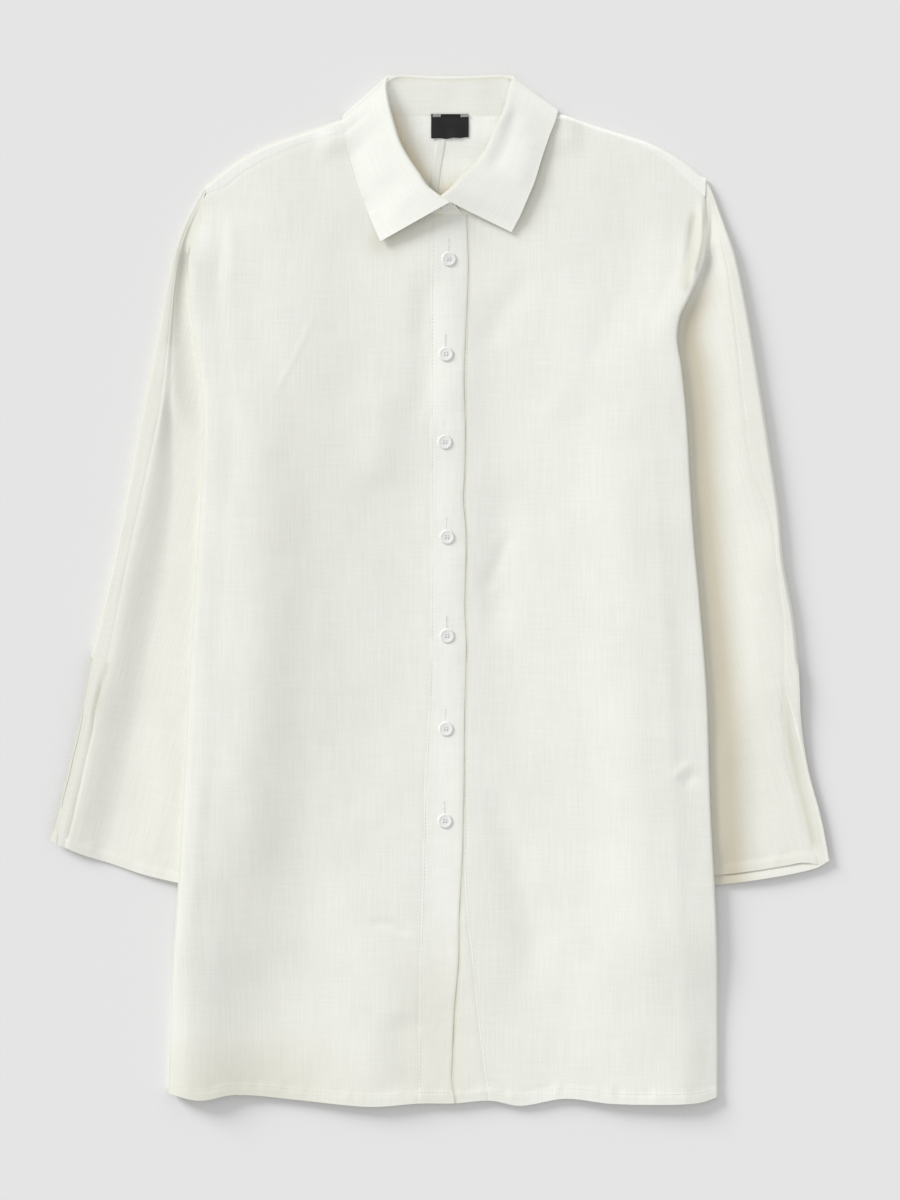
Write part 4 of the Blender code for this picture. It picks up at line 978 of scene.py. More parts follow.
# %% Collar sections
Section = namedtuple("Section", "neck_x neck_y roll_x roll_y roll_z edge_x edge_y lift round turn")
RIGHT_COLLAR = [Section(*row) for row in [
    (1.4, 350.2, 7.0, 357.8, 11.6, -55, 323.5, 3.5, 3.2, 0),
    (-18, 351.5, -11.5, 371.5, 11.8, -63, 341.5, 1.8, 3.0, 0),
    (-37, 354.5, -20.5, 384.5, 12.0, -68.5, 355.5, 1.0, 2.8, 0),
    (-54.5, 365.6, -30.5, 399.5, 12.0, -74, 369.5, 0.9, 2.6, 0),
    (-67.5, 386.4, -38.5, 415, 12.0, -79.5, 387.5, 0.9, 2.4, 0),
    (-76.4, 408.2, -45, 436, 11.6, -85, 407, 0.9, 2.4, 0),
    (-79, 418, -49, 453, 11.0, -88, 422, 0.9, 2.3, 5),
    (-78.6, 430, -50.5, 466, 9.5, -90.2, 433, 1.2, 2.2, 40),
    (-75.4, 441.8, -49, 474, 8.0, -89, 442, 0, 2.2, 90),
    (-73, 441.6, -44.5, 476, 6.5, -80, 437, 0, 2.2, 140),
    (-57, 440.5, -35, 476.8, 5.4, -57, 431, 0, 2.2, 180),
    (-28, 440.2, -16, 476.0, 5.0, -27, 430, 0, 2.2, 180)]]
LEFT_COLLAR = [Section(*row) for row in [
    (14.5, 350.2, 1.8, 363.6, 9.4, 67, 332, 1.4, 2.6, 0),
    (24, 350.4, 13, 372, 10.0, 71, 339.5, 2.0, 3.0, 0),
    (38, 351.6, 21.5, 382, 10.6, 75, 347, 3.0, 2.8, 0),
    (56.5, 357.6, 31.5, 391, 11.0, 81, 361, 3.6, 2.6, 0),
    (74, 372.4, 44, 407, 10.8, 88.5, 379, 3.8, 2.4, 0),
    (86, 396.2, 53, 427.5, 10.8, 95.5, 402, 3.4, 2.4, 0),
    (94.4, 416, 61, 443, 11.2, 102, 421, 2.0, 2.3, 5),
    (97.4, 434, 65.5, 463, 9.5, 108, 436.5, 1.2, 2.2, 40),
    (95.0, 444.6, 68.0, 473.8, 8.0, 109.5, 447, 0, 2.2, 90),
    (92.5, 444.4, 63.5, 476.4, 6.5, 100, 441, 0, 2.2, 140),
    (75, 441.2, 55, 476.8, 5.4, 75, 433, 0, 2.2, 180),
    (40, 440.2, 30, 475.8, 5.0, 40, 431, 0, 2.2, 180)]]
BACK_COLLAR = Section(5, 440.2, 6, 475.3, 4.9, 5, 430, 0, 2.2, 180)
OVER_END = Section(20.8, 350.2, 13.0, 359.4, 10.6, 40, 340, 0, 2.2, 0)
UNDER_END = Section(-6.0, 350.2, -5.5, 361.0, 8.4, -40, 340, 0, 2.2, 0)


def neck_point(sections, share):
    """A point of the neckline, a seam's width outside the foot of the stand."""
    rows = [row for row in sections if row.turn <= 40]
    place = (1 - share) * (len(rows) - 1)
    keys = list(range(len(rows)))
    x = read(keys, [row.neck_x for row in rows], place)
    y = read(keys, [row.neck_y for row in rows], place)
    away = np.hypot(x - NECK_CENTRE.x, y - NECK_CENTRE.y)
    return (x + 2.8 * SEAM * (x - NECK_CENTRE.x) / away, y + 2.8 * SEAM * (y - NECK_CENTRE.y) / away)


print("Collar sections:", len(RIGHT_COLLAR) + len(LEFT_COLLAR) + 1)


# %% Fronts
def collar_shade(x, y):
    """Shade beside the left leaf and beneath the right one."""
    right_leaf, _ = near([(104, 438), (96, 403), (88, 379), (72, 340)], x, y)
    left_leaf, _ = near([(-55, 323), (-30, 336), (-6, 352)], x, y)
    under = np.exp(-(right_leaf / 11) ** 2) + 1.5 * np.exp(-(left_leaf / 12) ** 2)
    return 0.40 * np.clip(under, 0, 1.5)


def front_shade(x, y):
    """Warm shade on the fronts: by the collar, in the hollows, low at the hem and in the left armhole."""
    rim = np.where(x < 0, 0.4 * np.exp(-(np.maximum(inside_edge(x, y), 0.0) / 2.1) ** 2), 0.0)
    hollow = 0.05 * np.exp(-((x + 140) / 50) ** 2) * smooth((230 - y) / 80)
    low = 0.5 * np.exp(-((x + 185) / 95) ** 2) * smooth((-390 - y) / 70)
    middle = 0.3 * np.exp(-((x + 2) / 38) ** 2) * smooth((-290 - y) / 110)
    groove = 0.7 * np.exp(-((x - line_x(PLACKET_EDGE, y) - 0.9) / 1.5) ** 2)
    for points, wide, deep in (([(236, 348), (233, 312), (229, 280)], 3.6, 0.75),
                               ([(247, 366), (246, 345), (243, 318), (238, 298)], 2.6, 0.6),
                               ([(-221, 360), (-227, 330), (-229, 300)], 2.4, 0.2)):
        groove = groove + deep * np.exp(-(near(points, x, y)[0] / wide) ** 2)
    return np.clip(collar_shade(x, y) + rim + hollow + low + middle + groove, 0, 1)


def front_panel(name, rows, sign, seam, sections, centre, height):
    side = body_side(rows, sign, seam[0])
    middle = Line([(p.x + sign * SEAM + UNDERLAP[sign], p.y) for p in reversed(centre)])
    foot = hem_between(side.points[0][0], middle.points[0][0])

    def top(u):
        share = np.clip((u - SHOULDER_SHARE) / (1 - SHOULDER_SHARE), 0.0, 1.0)
        shoulder_x, shoulder_y = seam_point(seam, np.minimum(u / SHOULDER_SHARE, 1.0))
        shoulder = (shoulder_x, shoulder_y + 0.9 * smooth(u / 0.04) * smooth((SHOULDER_SHARE - u) / 0.04))
        start, point, end = neck_point(sections, 0.0), neck_point(sections, share), neck_point(sections, 1.0)
        lead, close = (1 - share) ** 3, share ** 3
        neck = [point[k] + (seam[-1][k] - start[k]) * lead + (middle.points[-1][k] - end[k]) * close
                for k in range(2)]
        return [np.where(u <= SHOULDER_SHARE, shoulder[k], neck[k]) for k in range(2)]

    def place(t, v):
        u, rise = body_column(t, side.at(v)[1], rows)
        x, y = patch(foot, top, side.at, middle.at, u, v)
        z = turned_down(x, y, height(x, y), rise, False)
        if sign < 0:
            z = z - FRONT_TUCK * smooth(1 - (line_x(PLACKET_SEAM, y) - x) / 1.6)
        else:
            z = z - FRONT_TUCK * smooth(1 - (x - line_x(BAND_SEAM, y)) / 1.5)
        armhole = smooth((inside_edge(x, y) + 0.2) / 2.2)
        z = z - 0.5 * (1 - armhole) * (1 - smooth(beside(x, y, "closed"))) * (y > 280)
        below = line_y(seam, x) - y
        return (x, y, z - SHOULDER_TUCK * smooth(1 - below / 1.6) * (u <= SHOULDER_SHARE) * (y > 330))

    return sew(name, body_columns(2.3), spread(steps(FRONT_LENGTH, 2.4)), place, body_linen, flip=sign > 0,
               lean=0.0, tint=front_shade)


front_right = front_panel("front_right", RIGHT_SIDE, -1, RIGHT_SHOULDER_SEAM, RIGHT_COLLAR, PLACKET_SEAM,
                          right_front_top)
front_left = front_panel("front_left", LEFT_SIDE, 1, LEFT_SHOULDER_SEAM, LEFT_COLLAR, BAND_SEAM, front_top)

# %% [markdown]
# ## The back
# The back is one layer on the table, sewn up its centre. At the shoulders it folds over and comes down on
# the front as far as the seam, because this shirt's shoulder seams lie forward. Its hidden face is not
# ironed flat: soft ridges lift it off the table here and there, as high as the front above them allows.

# %% Back panels
BACK_CREASES = [
    Crease([(-150, 300), (-110, 200), (-120, 90)], 1.3, 16.0),
    Crease([(-60, 60), (-75, -80), (-60, -220)], 1.1, 14.0),
    Crease([(-150, -120), (-120, -260), (-135, -400)], 1.5, 18.0),
    Crease([(90, 330), (70, 220), (95, 110)], 1.2, 15.0),
    Crease([(150, 40), (120, -90), (140, -230)], 1.4, 18.0),
    Crease([(60, -180), (80, -300), (65, -420)], 1.2, 14.0),
    Crease([(-40, 340), (-55, 250), (-45, 160)], 0.9, 10.0),
    Crease([(40, 20), (35, -60), (45, -140)], 0.8, 9.0),
]
BACK_NECK = {
    -1: [(-79.3, 444), (-76.8, 440.9), (-73.5, 439.3), (-67, 438.8), (-57, 439.2)],
    1: [(98.6, 448), (96.6, 444.6), (93.5, 441.6), (88, 440.2), (76, 439.6)],
}


def back_relief(x, y):
    """Ridges that lift the back off the table. They stay off its edges, where it is held down."""
    clear = smooth((inside_edge(x, y) - 24) / 30) * smooth((y - hem_y(x) - 6) / 25) * smooth((400 - y) / 40)
    soft = np.maximum(0.0, rumple(x, y, 71, 1.3))
    centre = np.exp(-((x - line_x(BACK_CENTRE, y)) / 3.0) ** 2)
    return clear * (creased(BACK_CREASES, x, y) + soft) * (1 - 0.9 * centre)


def shoulder_fold(x, sign):
    return line_y(RIGHT_SHOULDER if sign < 0 else LEFT_SHOULDER, x)


def folded_over(x, y, sign):
    """Where a point of the unfolded back lies once the back is turned over the shoulder."""
    fold_y = shoulder_fold(x, sign)
    past = y - (fold_y - BEND_REACH)
    low = back_under(x, y - np.maximum(0.0, past))
    angle = math.pi * np.clip(past / BEND_LENGTH, 0.0, 1.0)
    inset = BEND_REACH * (1 - np.sin(angle)) + np.maximum(0.0, past - BEND_LENGTH)
    folded_y = fold_y - inset
    high = right_front_top(x, folded_y) if sign < 0 else front_top(x, folded_y)
    lifted = mix(low, high, (1 - np.cos(angle)) / 2)
    return (x, np.where(past <= 0, y, folded_y), np.where(past <= 0, low, lifted))


def shoulder_lap(seam, share, sign):
    x, y = seam_point(seam, share)
    return np.maximum(0.8, shoulder_fold(x, sign) - y - 1.9 * SEAM - BEND_REACH)


def neck_shade(x, y):
    """Shade inside the neck, beside the right leaf's fold."""
    fold, _ = near([(-46, 436), (-36, 410), (-18, 380), (0, 362), (20, 368)], x, y)
    return 0.85 * np.exp(-(fold / 12) ** 2) * (y > 340)


def back_panel(name, rows, sign):
    seam = RIGHT_SHOULDER_SEAM if sign < 0 else LEFT_SHOULDER_SEAM
    centre_x = BACK_CENTRE[0].x + sign * SEAM / 2
    neck_x = seam_point(seam, 1.0)[0]
    neck_top = shoulder_fold(neck_x, sign) - BEND_REACH + BEND_LENGTH + shoulder_lap(seam, 1.0, sign)
    around = Line([(float(neck_x), float(neck_top))]
                  + [(x, y + 1.3) for x, y in BACK_NECK[sign] + [(centre_x, BACK_NECK_Y)]])

    def edge(u):
        return around.at(np.clip((u - SHOULDER_SHARE) / (1 - SHOULDER_SHARE), 0.0, 1.0))

    def base(u):
        x, y = seam_point(seam, np.minimum(u / SHOULDER_SHARE, 1.0))
        end_x, end_y = edge(u)
        flat_x = np.where(u <= SHOULDER_SHARE, x, end_x)
        level = shoulder_fold(flat_x, sign) - BEND_REACH
        return (flat_x, np.where(u <= SHOULDER_SHARE, level, np.minimum(end_y - 2.0, level)))

    side = body_side(rows, sign, [float(c) for c in base(0.0)])
    middle = Line([(p.x + sign * SEAM / 2, p.y) for p in reversed(BACK_CENTRE[1:])]
                  + [tuple(float(c) for c in base(1.0))])
    foot = hem_between(side.points[0][0], middle.points[0][0])

    def place(t, v):
        u, rise = body_column(t, side.at(np.minimum(v, 1.0))[1], rows)
        flat_v = np.minimum(v, 1.0)
        x, y = patch(foot, base, side.at, middle.at, u, flat_v)
        y = y + 2.5 * (1 - flat_v) ** 8
        flat_z = turned_down(x, y, back_under(x, y), rise, True) + back_relief(x, y)
        base_x, base_y = base(u)
        end_x, end_y = edge(u)
        lap = shoulder_lap(seam, np.minimum(u / SHOULDER_SHARE, 1.0), sign)
        past = BEND_LENGTH * np.clip(v - 1, 0.0, 1.0) + lap * np.maximum(0.0, v - 2)
        over_y = np.where(u <= SHOULDER_SHARE, base_y + past, mix(base_y, end_y, np.clip((v - 1) / 2, 0, 1)))
        over = list(folded_over(base_x, over_y, sign))
        to_seam = BEND_LENGTH + lap - past
        over[2] = over[2] - SHOULDER_TUCK * smooth(1 - to_seam / 1.6) * (u <= SHOULDER_SHARE)
        return [np.where(v <= 1, a, b) for a, b in zip((x, y, flat_z), over)]

    flat_rows = spread(steps(BACK_LENGTH, 4.2))
    wrap_rows = spread(steps(26, 2.0, 8), 1.0, 2.0)[1:] + spread(steps(18, 2.4, 5), 2.0, 3.0)[1:]

    def shade(x, y):
        fold = np.exp(-((shoulder_fold(x, sign) - y) / 1.8) ** 2) * (np.abs(x) > 70)
        return np.clip(neck_shade(x, y) + 0.35 * fold * (sign < 0), 0, 1)

    return sew(name, body_columns(4.2), flat_rows + wrap_rows, place, back_linen, flip=sign < 0,
               lean=0.0, tint=shade)


back_right = back_panel("back_right", RIGHT_SIDE, -1)
back_left = back_panel("back_left", LEFT_SIDE, 1)

# %% [markdown]
# ## The two bands
# The placket is doubled and lined, so it is stiffer than the fronts, and its face lies half a millimetre
# higher. Its free edge wanders a little, and so does the thin line of shade beside it.

# %% Placket and button band
BAND_LENGTH = 830.0
FREE_EDGE_DIP, SEAM_EDGE_DIP = 0.16, 0.06


def placket_top(x, y):
    return front_top(x, y) + PLACKET_RISE


def band_relief(distance, y, seed):
    """Soft waves along a doubled band."""
    return 0.14 * lattice(y, distance * 0.3, 17.0, seed) + 0.05 * lattice(y, distance, 6.0, seed + 1)


def band(name, seam, other_edge, seam_first, height, seed):
    seam_line = Line([(p.x, p.y) for p in reversed(seam)])

    def place(u, v):
        seam_x, y = seam_line.at(v)
        from_seam = u if seam_first else 1 - u
        x = mix(seam_x, other_edge(y), from_seam)
        y = y + (hem_y(x) - hem_y(seam_x)) * (1 - v) ** 8 - 0.9 * v ** 20
        to_seam, to_edge = from_seam * PLACKET_WIDTH, (1 - from_seam) * PLACKET_WIDTH
        z = height(x, y) + band_relief(np.minimum(to_seam, to_edge), y, seed)
        z = z - FREE_EDGE_DIP * smooth(1 - to_edge / 1.0) - SEAM_EDGE_DIP * np.exp(-(to_seam / 0.9) ** 2)
        if not seam_first:
            under = smooth(1 - to_seam / 2.0)
            x, z = x + 0.9 * under, z - 0.14 * under
        return (x, y, z)

    return sew(name, spread(steps(34, 1.7)), spread(steps(BAND_LENGTH, 2.2)), place, stiff_linen, thick=0.6,
               lean=0.0, tint=front_shade)


placket = band("placket", PLACKET_SEAM, lambda y: line_x(PLACKET_EDGE, y), True, placket_top, 51)
button_band = band("button_band", BAND_SEAM, lambda y: line_x(BAND_SEAM, y) - PLACKET_WIDTH, False,
                   front_top, 53)

# %% [markdown]
# ## The sleeves
# A sleeve is a flattened tube of two pieces. The back half lies on the table, bends up round the outer
# fold and comes over to the seam on top of the arm. The front half goes on from that seam, down into a
# valley, and in under the body. Near the cuff the seam opens into a slit, and there the two halves part.

# %% Sleeves
SLEEVE_LENGTH = 650.0
CAP_GAP = -1.3
CAP_TOP = 8.2
HELD_CUFF = 3.45
SLEEVE_LEAN = {-1: -15.0, 1: 13.0}
# How much of the table's valley each sleeve shows: the left one slopes evenly
VALLEY_SHARE = {-1: 1.0, 1: 0.1}
SLIT_TOP = {-1: -68.0, 1: -78.0}
SLIT_DROP = {-1: 0.08, 1: 0.3}
SHADE_FROM_EDGE = [0, 4, 10, 16, 22, 29, 36, 42]
SHADE_AT = [0.55, 0.6, 0.88, 0.94, 0.68, 0.34, 0.12, 0.0]
SLEEVE_CREASES = {
    -1: [Crease([(-226, 350), (-236, 300), (-246, 240), (-252, 190)], -0.15, 7.0),
         Crease([(-232, 200), (-240, 120), (-262, 20), (-285, -60)], -0.3, 14.0),
         Crease([(-250, -120), (-256, -200), (-262, -262)], 0.5, 18.0)],
    1: [Crease([(238, 345), (234, 310), (230, 288)], -1.1, 4.0),
        Crease([(246, 365), (251, 330), (246, 300), (238, 280)], -1.1, 4.0),
        Crease([(241, 350), (241, 320), (238, 298)], 0.9, 4.5),
        Crease([(300, 60), (296, -40), (290, -140)], 0.8, 18.0),
        Crease([(262, -120), (266, -200), (270, -262)], 0.9, 16.0)],
}


def body_cast(x, y):
    """Warm shade that the body throws on the sleeve beside it, and shade in the right sleeve's fold."""
    past = np.maximum(0.0, -inside_edge(x, y))
    wide = 0.8 + 0.2 * smooth((280 - y) / 80) + 0.2 * smooth((20 - y) / 200)
    shade = read(SHADE_FROM_EDGE, SHADE_AT, past / wide) * smooth((302 - y) / 50)
    valley = 0.3 * np.exp(-(near([(-232, 334), (-239, 300), (-246, 262), (-250, 232)], x, y)[0] / 6.5) ** 2)
    rim = 0.35 * np.exp(-(near([(row.x, row.y) for row in RIGHT_SLEEVE], x, y)[0] / 2.0) ** 2)
    slit = 0.5 * np.exp(-(near([(-309, -70), (-330, -150), (-347, -228)], x, y)[0] / 1.8) ** 2)
    return np.where(x > 0, shade, np.clip(valley + rim + slit, 0, 1))


def inside_shade(x, y):
    """The back halves are shaded as the fronts are, and inside the left sleeve's slit."""
    slit = near([(315.7, -84), (323, -131), (335, -186), (348, -236)], x, y)[0]
    return np.clip(body_cast(x, y) + 0.5 * np.exp(-(slit / 4.5) ** 2), 0, 1)


def sleeve(side_name, rows, sign, cap, underarm, cuff):
    contour = Line([(row.x, row.y) for row in reversed(rows)])
    inner = Line([(p.x, p.y) for p in reversed(underarm)])
    top = Line(cap).at
    foot = Line(cuff)
    body_rows = RIGHT_SIDE if sign < 0 else LEFT_SIDE

    def raised_cuff(u):
        x, y = foot.at(u)
        return (x, y + 0.5 + CUFF_STEP[sign] * smooth(u / 0.2) * smooth((1 - u) / 0.15))

    def measure(v):
        start, end = contour.at(v), inner.at(v)
        return start[1], np.hypot(start[0] - end[0], start[1] - end[1])

    def under_share(y):
        return smooth((underarm[0].y + 46 - y) / 24)

    def cap_height(x, y):
        body_top = right_front_top(x, y) if sign < 0 else front_top(x, y)
        at_edge = turned_down(x, y, body_top, 0.0, False)
        return mix(np.minimum(CAP_TOP, at_edge - 0.55), column(body_rows, "y", "sleeve_z", y), under_share(y))

    def relief(x, y, along, v, lift):
        """Creases, rumple, a cuff that is folded over, and the rolled edge of the seam."""
        shown = smooth((-inside_edge(x, y) + 2) / 6)
        folded = hem_band(v * contour.lengths[-1], x, 61) * smooth((0.2 - v) / 0.05)
        seam = 0.22 * seam_dip(along, v * contour.lengths[-1], 63)
        return lift * (shown * (creased(SLEEVE_CREASES[sign], x, y) + rumple(x, y, 65, 0.8)) + folded + seam)

    def slit_share(row_y):
        """1 where the slit stands open."""
        return smooth((column(rows, "y", "seam", row_y) - column(rows, "y", "wrap", row_y)) / 7)

    def lowered(row_y):
        """Below the top of the slit the sleeve slackens a little."""
        return 1 - SLIT_DROP[sign] * smooth((SLIT_TOP[sign] - row_y) / 90)

    def front_place(c, v):
        row_y, width = measure(v)
        seam_at, parted = column(rows, "y", "seam", row_y), slit_share(row_y)
        start = (seam_at - 1.2 * (1 - parted)) / width
        u = mix(start, 1.0, c)
        x, y = patch(raised_cuff, top, contour.at, inner.at, u, v)
        along = u * width
        wavy = 0.8 * lattice(row_y, 0 * row_y, 15.0, 69) * np.exp(-np.maximum(0.0, along - seam_at) / 5)
        x = x + sign * CAP_GAP * smooth(v * 8 - 7) + parted * wavy
        fold_z = column(rows, "y", "fold_z", row_y) * lowered(row_y)
        level = seam_at + 1.5
        valley = np.maximum(level + 7, column(rows, "y", "valley", row_y))
        # Near the armhole the fold is shallow
        deepest = mix(9.0, 0.9, smooth((row_y - 130) / 90))
        valley_z = np.maximum(column(rows, "y", "valley_z", row_y), fold_z - deepest)
        inside = inside_edge(x, y)
        before = mix(fold_z, valley_z, smooth((along - level) / (valley - level)))
        share = (along - valley) / np.maximum(1.0, along - inside - valley)
        after = mix(valley_z, column(body_rows, "y", "sleeve_z", y), smooth(share))
        shown = np.where(along < valley, before, after)
        even = mix(fold_z, column(body_rows, "y", "sleeve_z", y),
                   smooth((along - level) / np.maximum(4.0, along - inside - level)))
        shown = mix(even, shown, VALLEY_SHARE[sign])
        z = np.where(inside >= 0, sleeve_under(x, y), shown)
        z = mix(z, cap_height(x, y), smooth(1 - (1 - v) / 0.13))
        z = np.where(inside >= 0, np.minimum(z, sleeve_under(x, y) + 8 * (1 - under_share(y))), z)
        tuck = mix(0.08, 0.3, parted) * smooth(1 - (along - seam_at) / mix(1.4, 3.0, parted))
        return (x, y, z - tuck + relief(x, y, np.abs(along - seam_at), v, smooth((1 - v) / 0.04)))

    def back_place(c, v):
        row_y, width = measure(v)
        seam_at, parted = column(rows, "y", "seam", row_y), slit_share(row_y)
        wrap = np.minimum(column(rows, "y", "wrap", row_y), seam_at)
        wrap = wrap + parted * 0.5 * lattice(row_y, 0 * row_y, 12.0, 72) - 3 * SEAM * smooth(v * 8 - 6)
        high = column(rows, "y", "fold_z", row_y) * lowered(row_y)
        reach = np.minimum(4.0, np.maximum(1.8, wrap - 0.4))
        angle = math.pi * np.clip(c, 0.0, 1.0)
        flat_t = mix(reach, width, np.clip(-c, 0.0, 1.0))
        bend_t = reach * (1 - np.sin(angle))
        t = np.where(c < 0, flat_t, np.where(c < 1, bend_t, mix(reach, wrap, np.clip(c - 1, 0, 1))))
        x, y = patch(foot.at, top, contour.at, inner.at, t / width, v)
        x = x + sign * CAP_GAP * smooth(v * 8 - 7)
        near_cap = smooth(1 - (1 - v) / 0.13)
        high = mix(high, cap_height(x, y), near_cap)
        lift = smooth((1 - v) / 0.04)
        high = high + relief(x, y, np.abs(t - wrap), v, lift * smooth(c * 2 - 1))
        high = high - mix(0.1, 0.4, parted) * smooth(1 - (wrap - t) / 1.8) * (c > 1)
        ridge = np.maximum(0.0, rumple(x, y, 67, 1.6)) * smooth(-c * 6) * smooth((1 + c) * 6) * lift
        # Where the slit is open the back half lies close beneath the edges of the front
        near_slit = smooth((SLIT_TOP[sign] + 16 - row_y) / 12)
        curl = (high - 0.8) * near_slit * smooth(1 - (t - seam_at) / 18)
        # The left cuff's back half is held up, and looks out below the front
        if sign > 0:
            held = HELD_CUFF * smooth(1 - v * contour.lengths[-1] / 26) * smooth((t - 3) / 8)
            curl = np.maximum(curl, held)
        z = np.where(c <= 0, ridge + curl, mix(curl, high, (1 - np.cos(angle)) / 2))
        return (x, y, z)

    lean = SLEEVE_LEAN[sign]
    pieces = [sew("sleeve_" + side_name + "_front", spread(steps(150, 2.6)),
                  spread(steps(SLEEVE_LENGTH, 2.6)), front_place, sleeve_linen, flip=sign > 0, lean=lean,
                  tint=body_cast)]
    around = spread(steps(140, 5.0), -1.0, 0.0) + spread(steps(16, 1.2, 8), 0.0, 1.0)[1:]
    around += spread(steps(18, 2.4, 4), 1.0, 2.0)[1:]
    pieces.append(sew("sleeve_" + side_name + "_back", around, spread(steps(SLEEVE_LENGTH, 3.4)),
                      back_place, sleeve_linen, flip=sign > 0, lean=lean, tint=inside_shade))
    return pieces


right_sleeve = sleeve("right", RIGHT_SLEEVE, -1, RIGHT_CAP, RIGHT_UNDERARM, RIGHT_CUFF)
left_sleeve = sleeve("left", LEFT_SLEEVE, 1, LEFT_CAP, LEFT_UNDERARM, LEFT_CUFF)

# %% [markdown]
# ## Collar and stand
# Both are doubled and lined, so their faces stay smooth and only bend in wide curves. The leaf is made
# from its roll outwards: half a turn of a small round, and then a face that settles on the front with a
# slight crown. The stand is the slanted inner wall that you see inside the neck.

# %% Collar
COLLAR_SECTIONS = RIGHT_COLLAR + [BACK_COLLAR] + LEFT_COLLAR[::-1]
LAST_SECTION = len(COLLAR_SECTIONS) - 1
COLLAR_LENGTH = 620.0
# The foot of the stand goes down between the layers at the neck
STAND_SUNK, STAND_CLEAR = 0.45, 0.4
LEAF_CREASES = [
    Crease([(72, 452), (62, 415), (46, 384)], -0.9, 9.0),
    Crease([(88, 425), (82, 400), (72, 370)], 0.5, 9.0),
    Crease([(-73, 363), (-68, 357), (-62, 349)], -0.5, 3.5),
    Crease([(-60, 430), (-62, 400), (-54, 372)], 0.4, 12.0),
    Crease([(-30, 372), (-40, 352), (-52, 336)], 0.4, 10.0),
]


def roll_lead(turn, shortest, longest):
    return mix(shortest, longest, np.sin(np.radians(turn)) ** 2)


def section_at(place):
    """Reads the collar's table between its rows, and works out the heights that it leaves open."""
    keys = list(range(LAST_SECTION + 1))
    values = []
    for k, name in enumerate(Section._fields):
        value = read(keys, [section[k] for section in COLLAR_SECTIONS], place)
        before = mix(COLLAR_SECTIONS[0][k], OVER_END[k], -place)
        after = mix(COLLAR_SECTIONS[-1][k], UNDER_END[k], place - LAST_SECTION)
        values.append(np.where(place < 0, before, np.where(place > LAST_SECTION, after, value)))
    row = Section(*values)

    def height(x, y):
        return np.where(place <= LAST_SECTION / 2, right_front_top(x, y), front_top(x, y))

    facing = smooth((row.turn - 45) / 90)
    neck_top = height(row.neck_x, row.neck_y) - STAND_SUNK
    neck_low = back_under(row.neck_x, row.neck_y) + STAND_CLEAR
    neck = (row.neck_x, row.neck_y, mix(neck_top, neck_low, facing))
    edge_top = height(row.edge_x, row.edge_y) + WALL + row.lift
    edge = (row.edge_x, row.edge_y, mix(edge_top, 0.0, facing))
    return row, neck, (row.roll_x, row.roll_y, row.roll_z), edge


def outward(roll, towards, turn):
    """The level direction from the roll to a point, and the way that the leaf's face looks."""
    dx, dy = towards[0] - roll[0], towards[1] - roll[1]
    length = np.hypot(dx, dy)
    along = (dx / length, dy / length)
    side = -along[1] * (roll[0] - NECK_CENTRE.x) + along[0] * (roll[1] - NECK_CENTRE.y)
    turned = np.where(side < 0, -1.0, 1.0)
    angle = np.radians(turn)
    return along, (-along[1] * turned * np.sin(angle), along[0] * turned * np.sin(angle), np.cos(angle))


def length_between(a, b):
    return np.sqrt(sum((a[k] - b[k]) ** 2 for k in range(3)))


def leaf_place(c, station):
    row, neck, roll, edge = section_at(station)
    along, face = outward(roll, edge, row.turn)
    end = [roll[k] - face[k] * row.round for k in range(3)]
    lip_share = np.clip(-c, 0, 1) * roll_lead(row.turn, 1.2, 2.8) / length_between(neck, end)
    lip = [mix(end[k], neck[k], lip_share) for k in range(3)]
    angle = math.pi * np.clip(c, 0.0, 1.0)
    out, up = -row.round * np.sin(angle), -row.round * np.cos(angle)
    bend = (roll[0] + along[0] * out + face[0] * up, roll[1] + along[1] * out + face[1] * up,
            roll[2] + face[2] * up)
    g = np.clip(c - 1, 0.0, 1.0)
    top = [roll[k] + face[k] * row.round for k in range(3)]
    facing = smooth((row.turn - 45) / 90)
    hugging = 0.8 * smooth(1 - (LAST_SECTION - station) / 1.6)
    settle = 1 - (1 - g) ** (mix(1.35, 2.6, facing) + hugging)
    x, y = mix(top[0], edge[0], g), mix(top[1], edge[1], g)
    crown = 0.5 * np.sin(math.pi * g) * (1 - facing)
    soft = (creased(LEAF_CREASES, x, y) + rumple(x, y, 81, 0.6)) * smooth(g * 5) * (1 - facing)
    leaf = (x, y, mix(top[2], edge[2], settle) + crown + soft)
    return [np.where(c < 0, lip[k], np.where(c <= 1, bend[k], leaf[k])) for k in range(3)]


def stand_place(c, station):
    row, neck, roll, edge = section_at(station)
    along, face = outward(roll, edge, row.turn)
    end = [roll[k] - face[k] * row.round for k in range(3)]
    reach = 1 - roll_lead(row.turn, 0.6, 1.0) / length_between(neck, end)
    points = [mix(neck[k], end[k], mix(-0.035, reach, c)) for k in range(3)]
    points[2] = points[2] - 0.06 * smooth(c * 6 - 5) - 0.12 * smooth(1 - c * 12)
    wave = 0.6 * lattice(station * 13.0, c * 3.0, 9.0, 83) * np.sin(math.pi * np.clip(c, 0, 1))
    points[2] = points[2] + wave
    return points


def roll_crest(rows, ahead=1.5):
    """The line along the outside of the roll, a little ahead of the table's own line."""
    line = []
    for row in rows:
        length = math.hypot(row.edge_x - row.roll_x, row.edge_y - row.roll_y)
        line.append((row.roll_x - ahead * (row.edge_x - row.roll_x) / length,
                     row.roll_y - ahead * (row.edge_y - row.roll_y) / length))
    return line


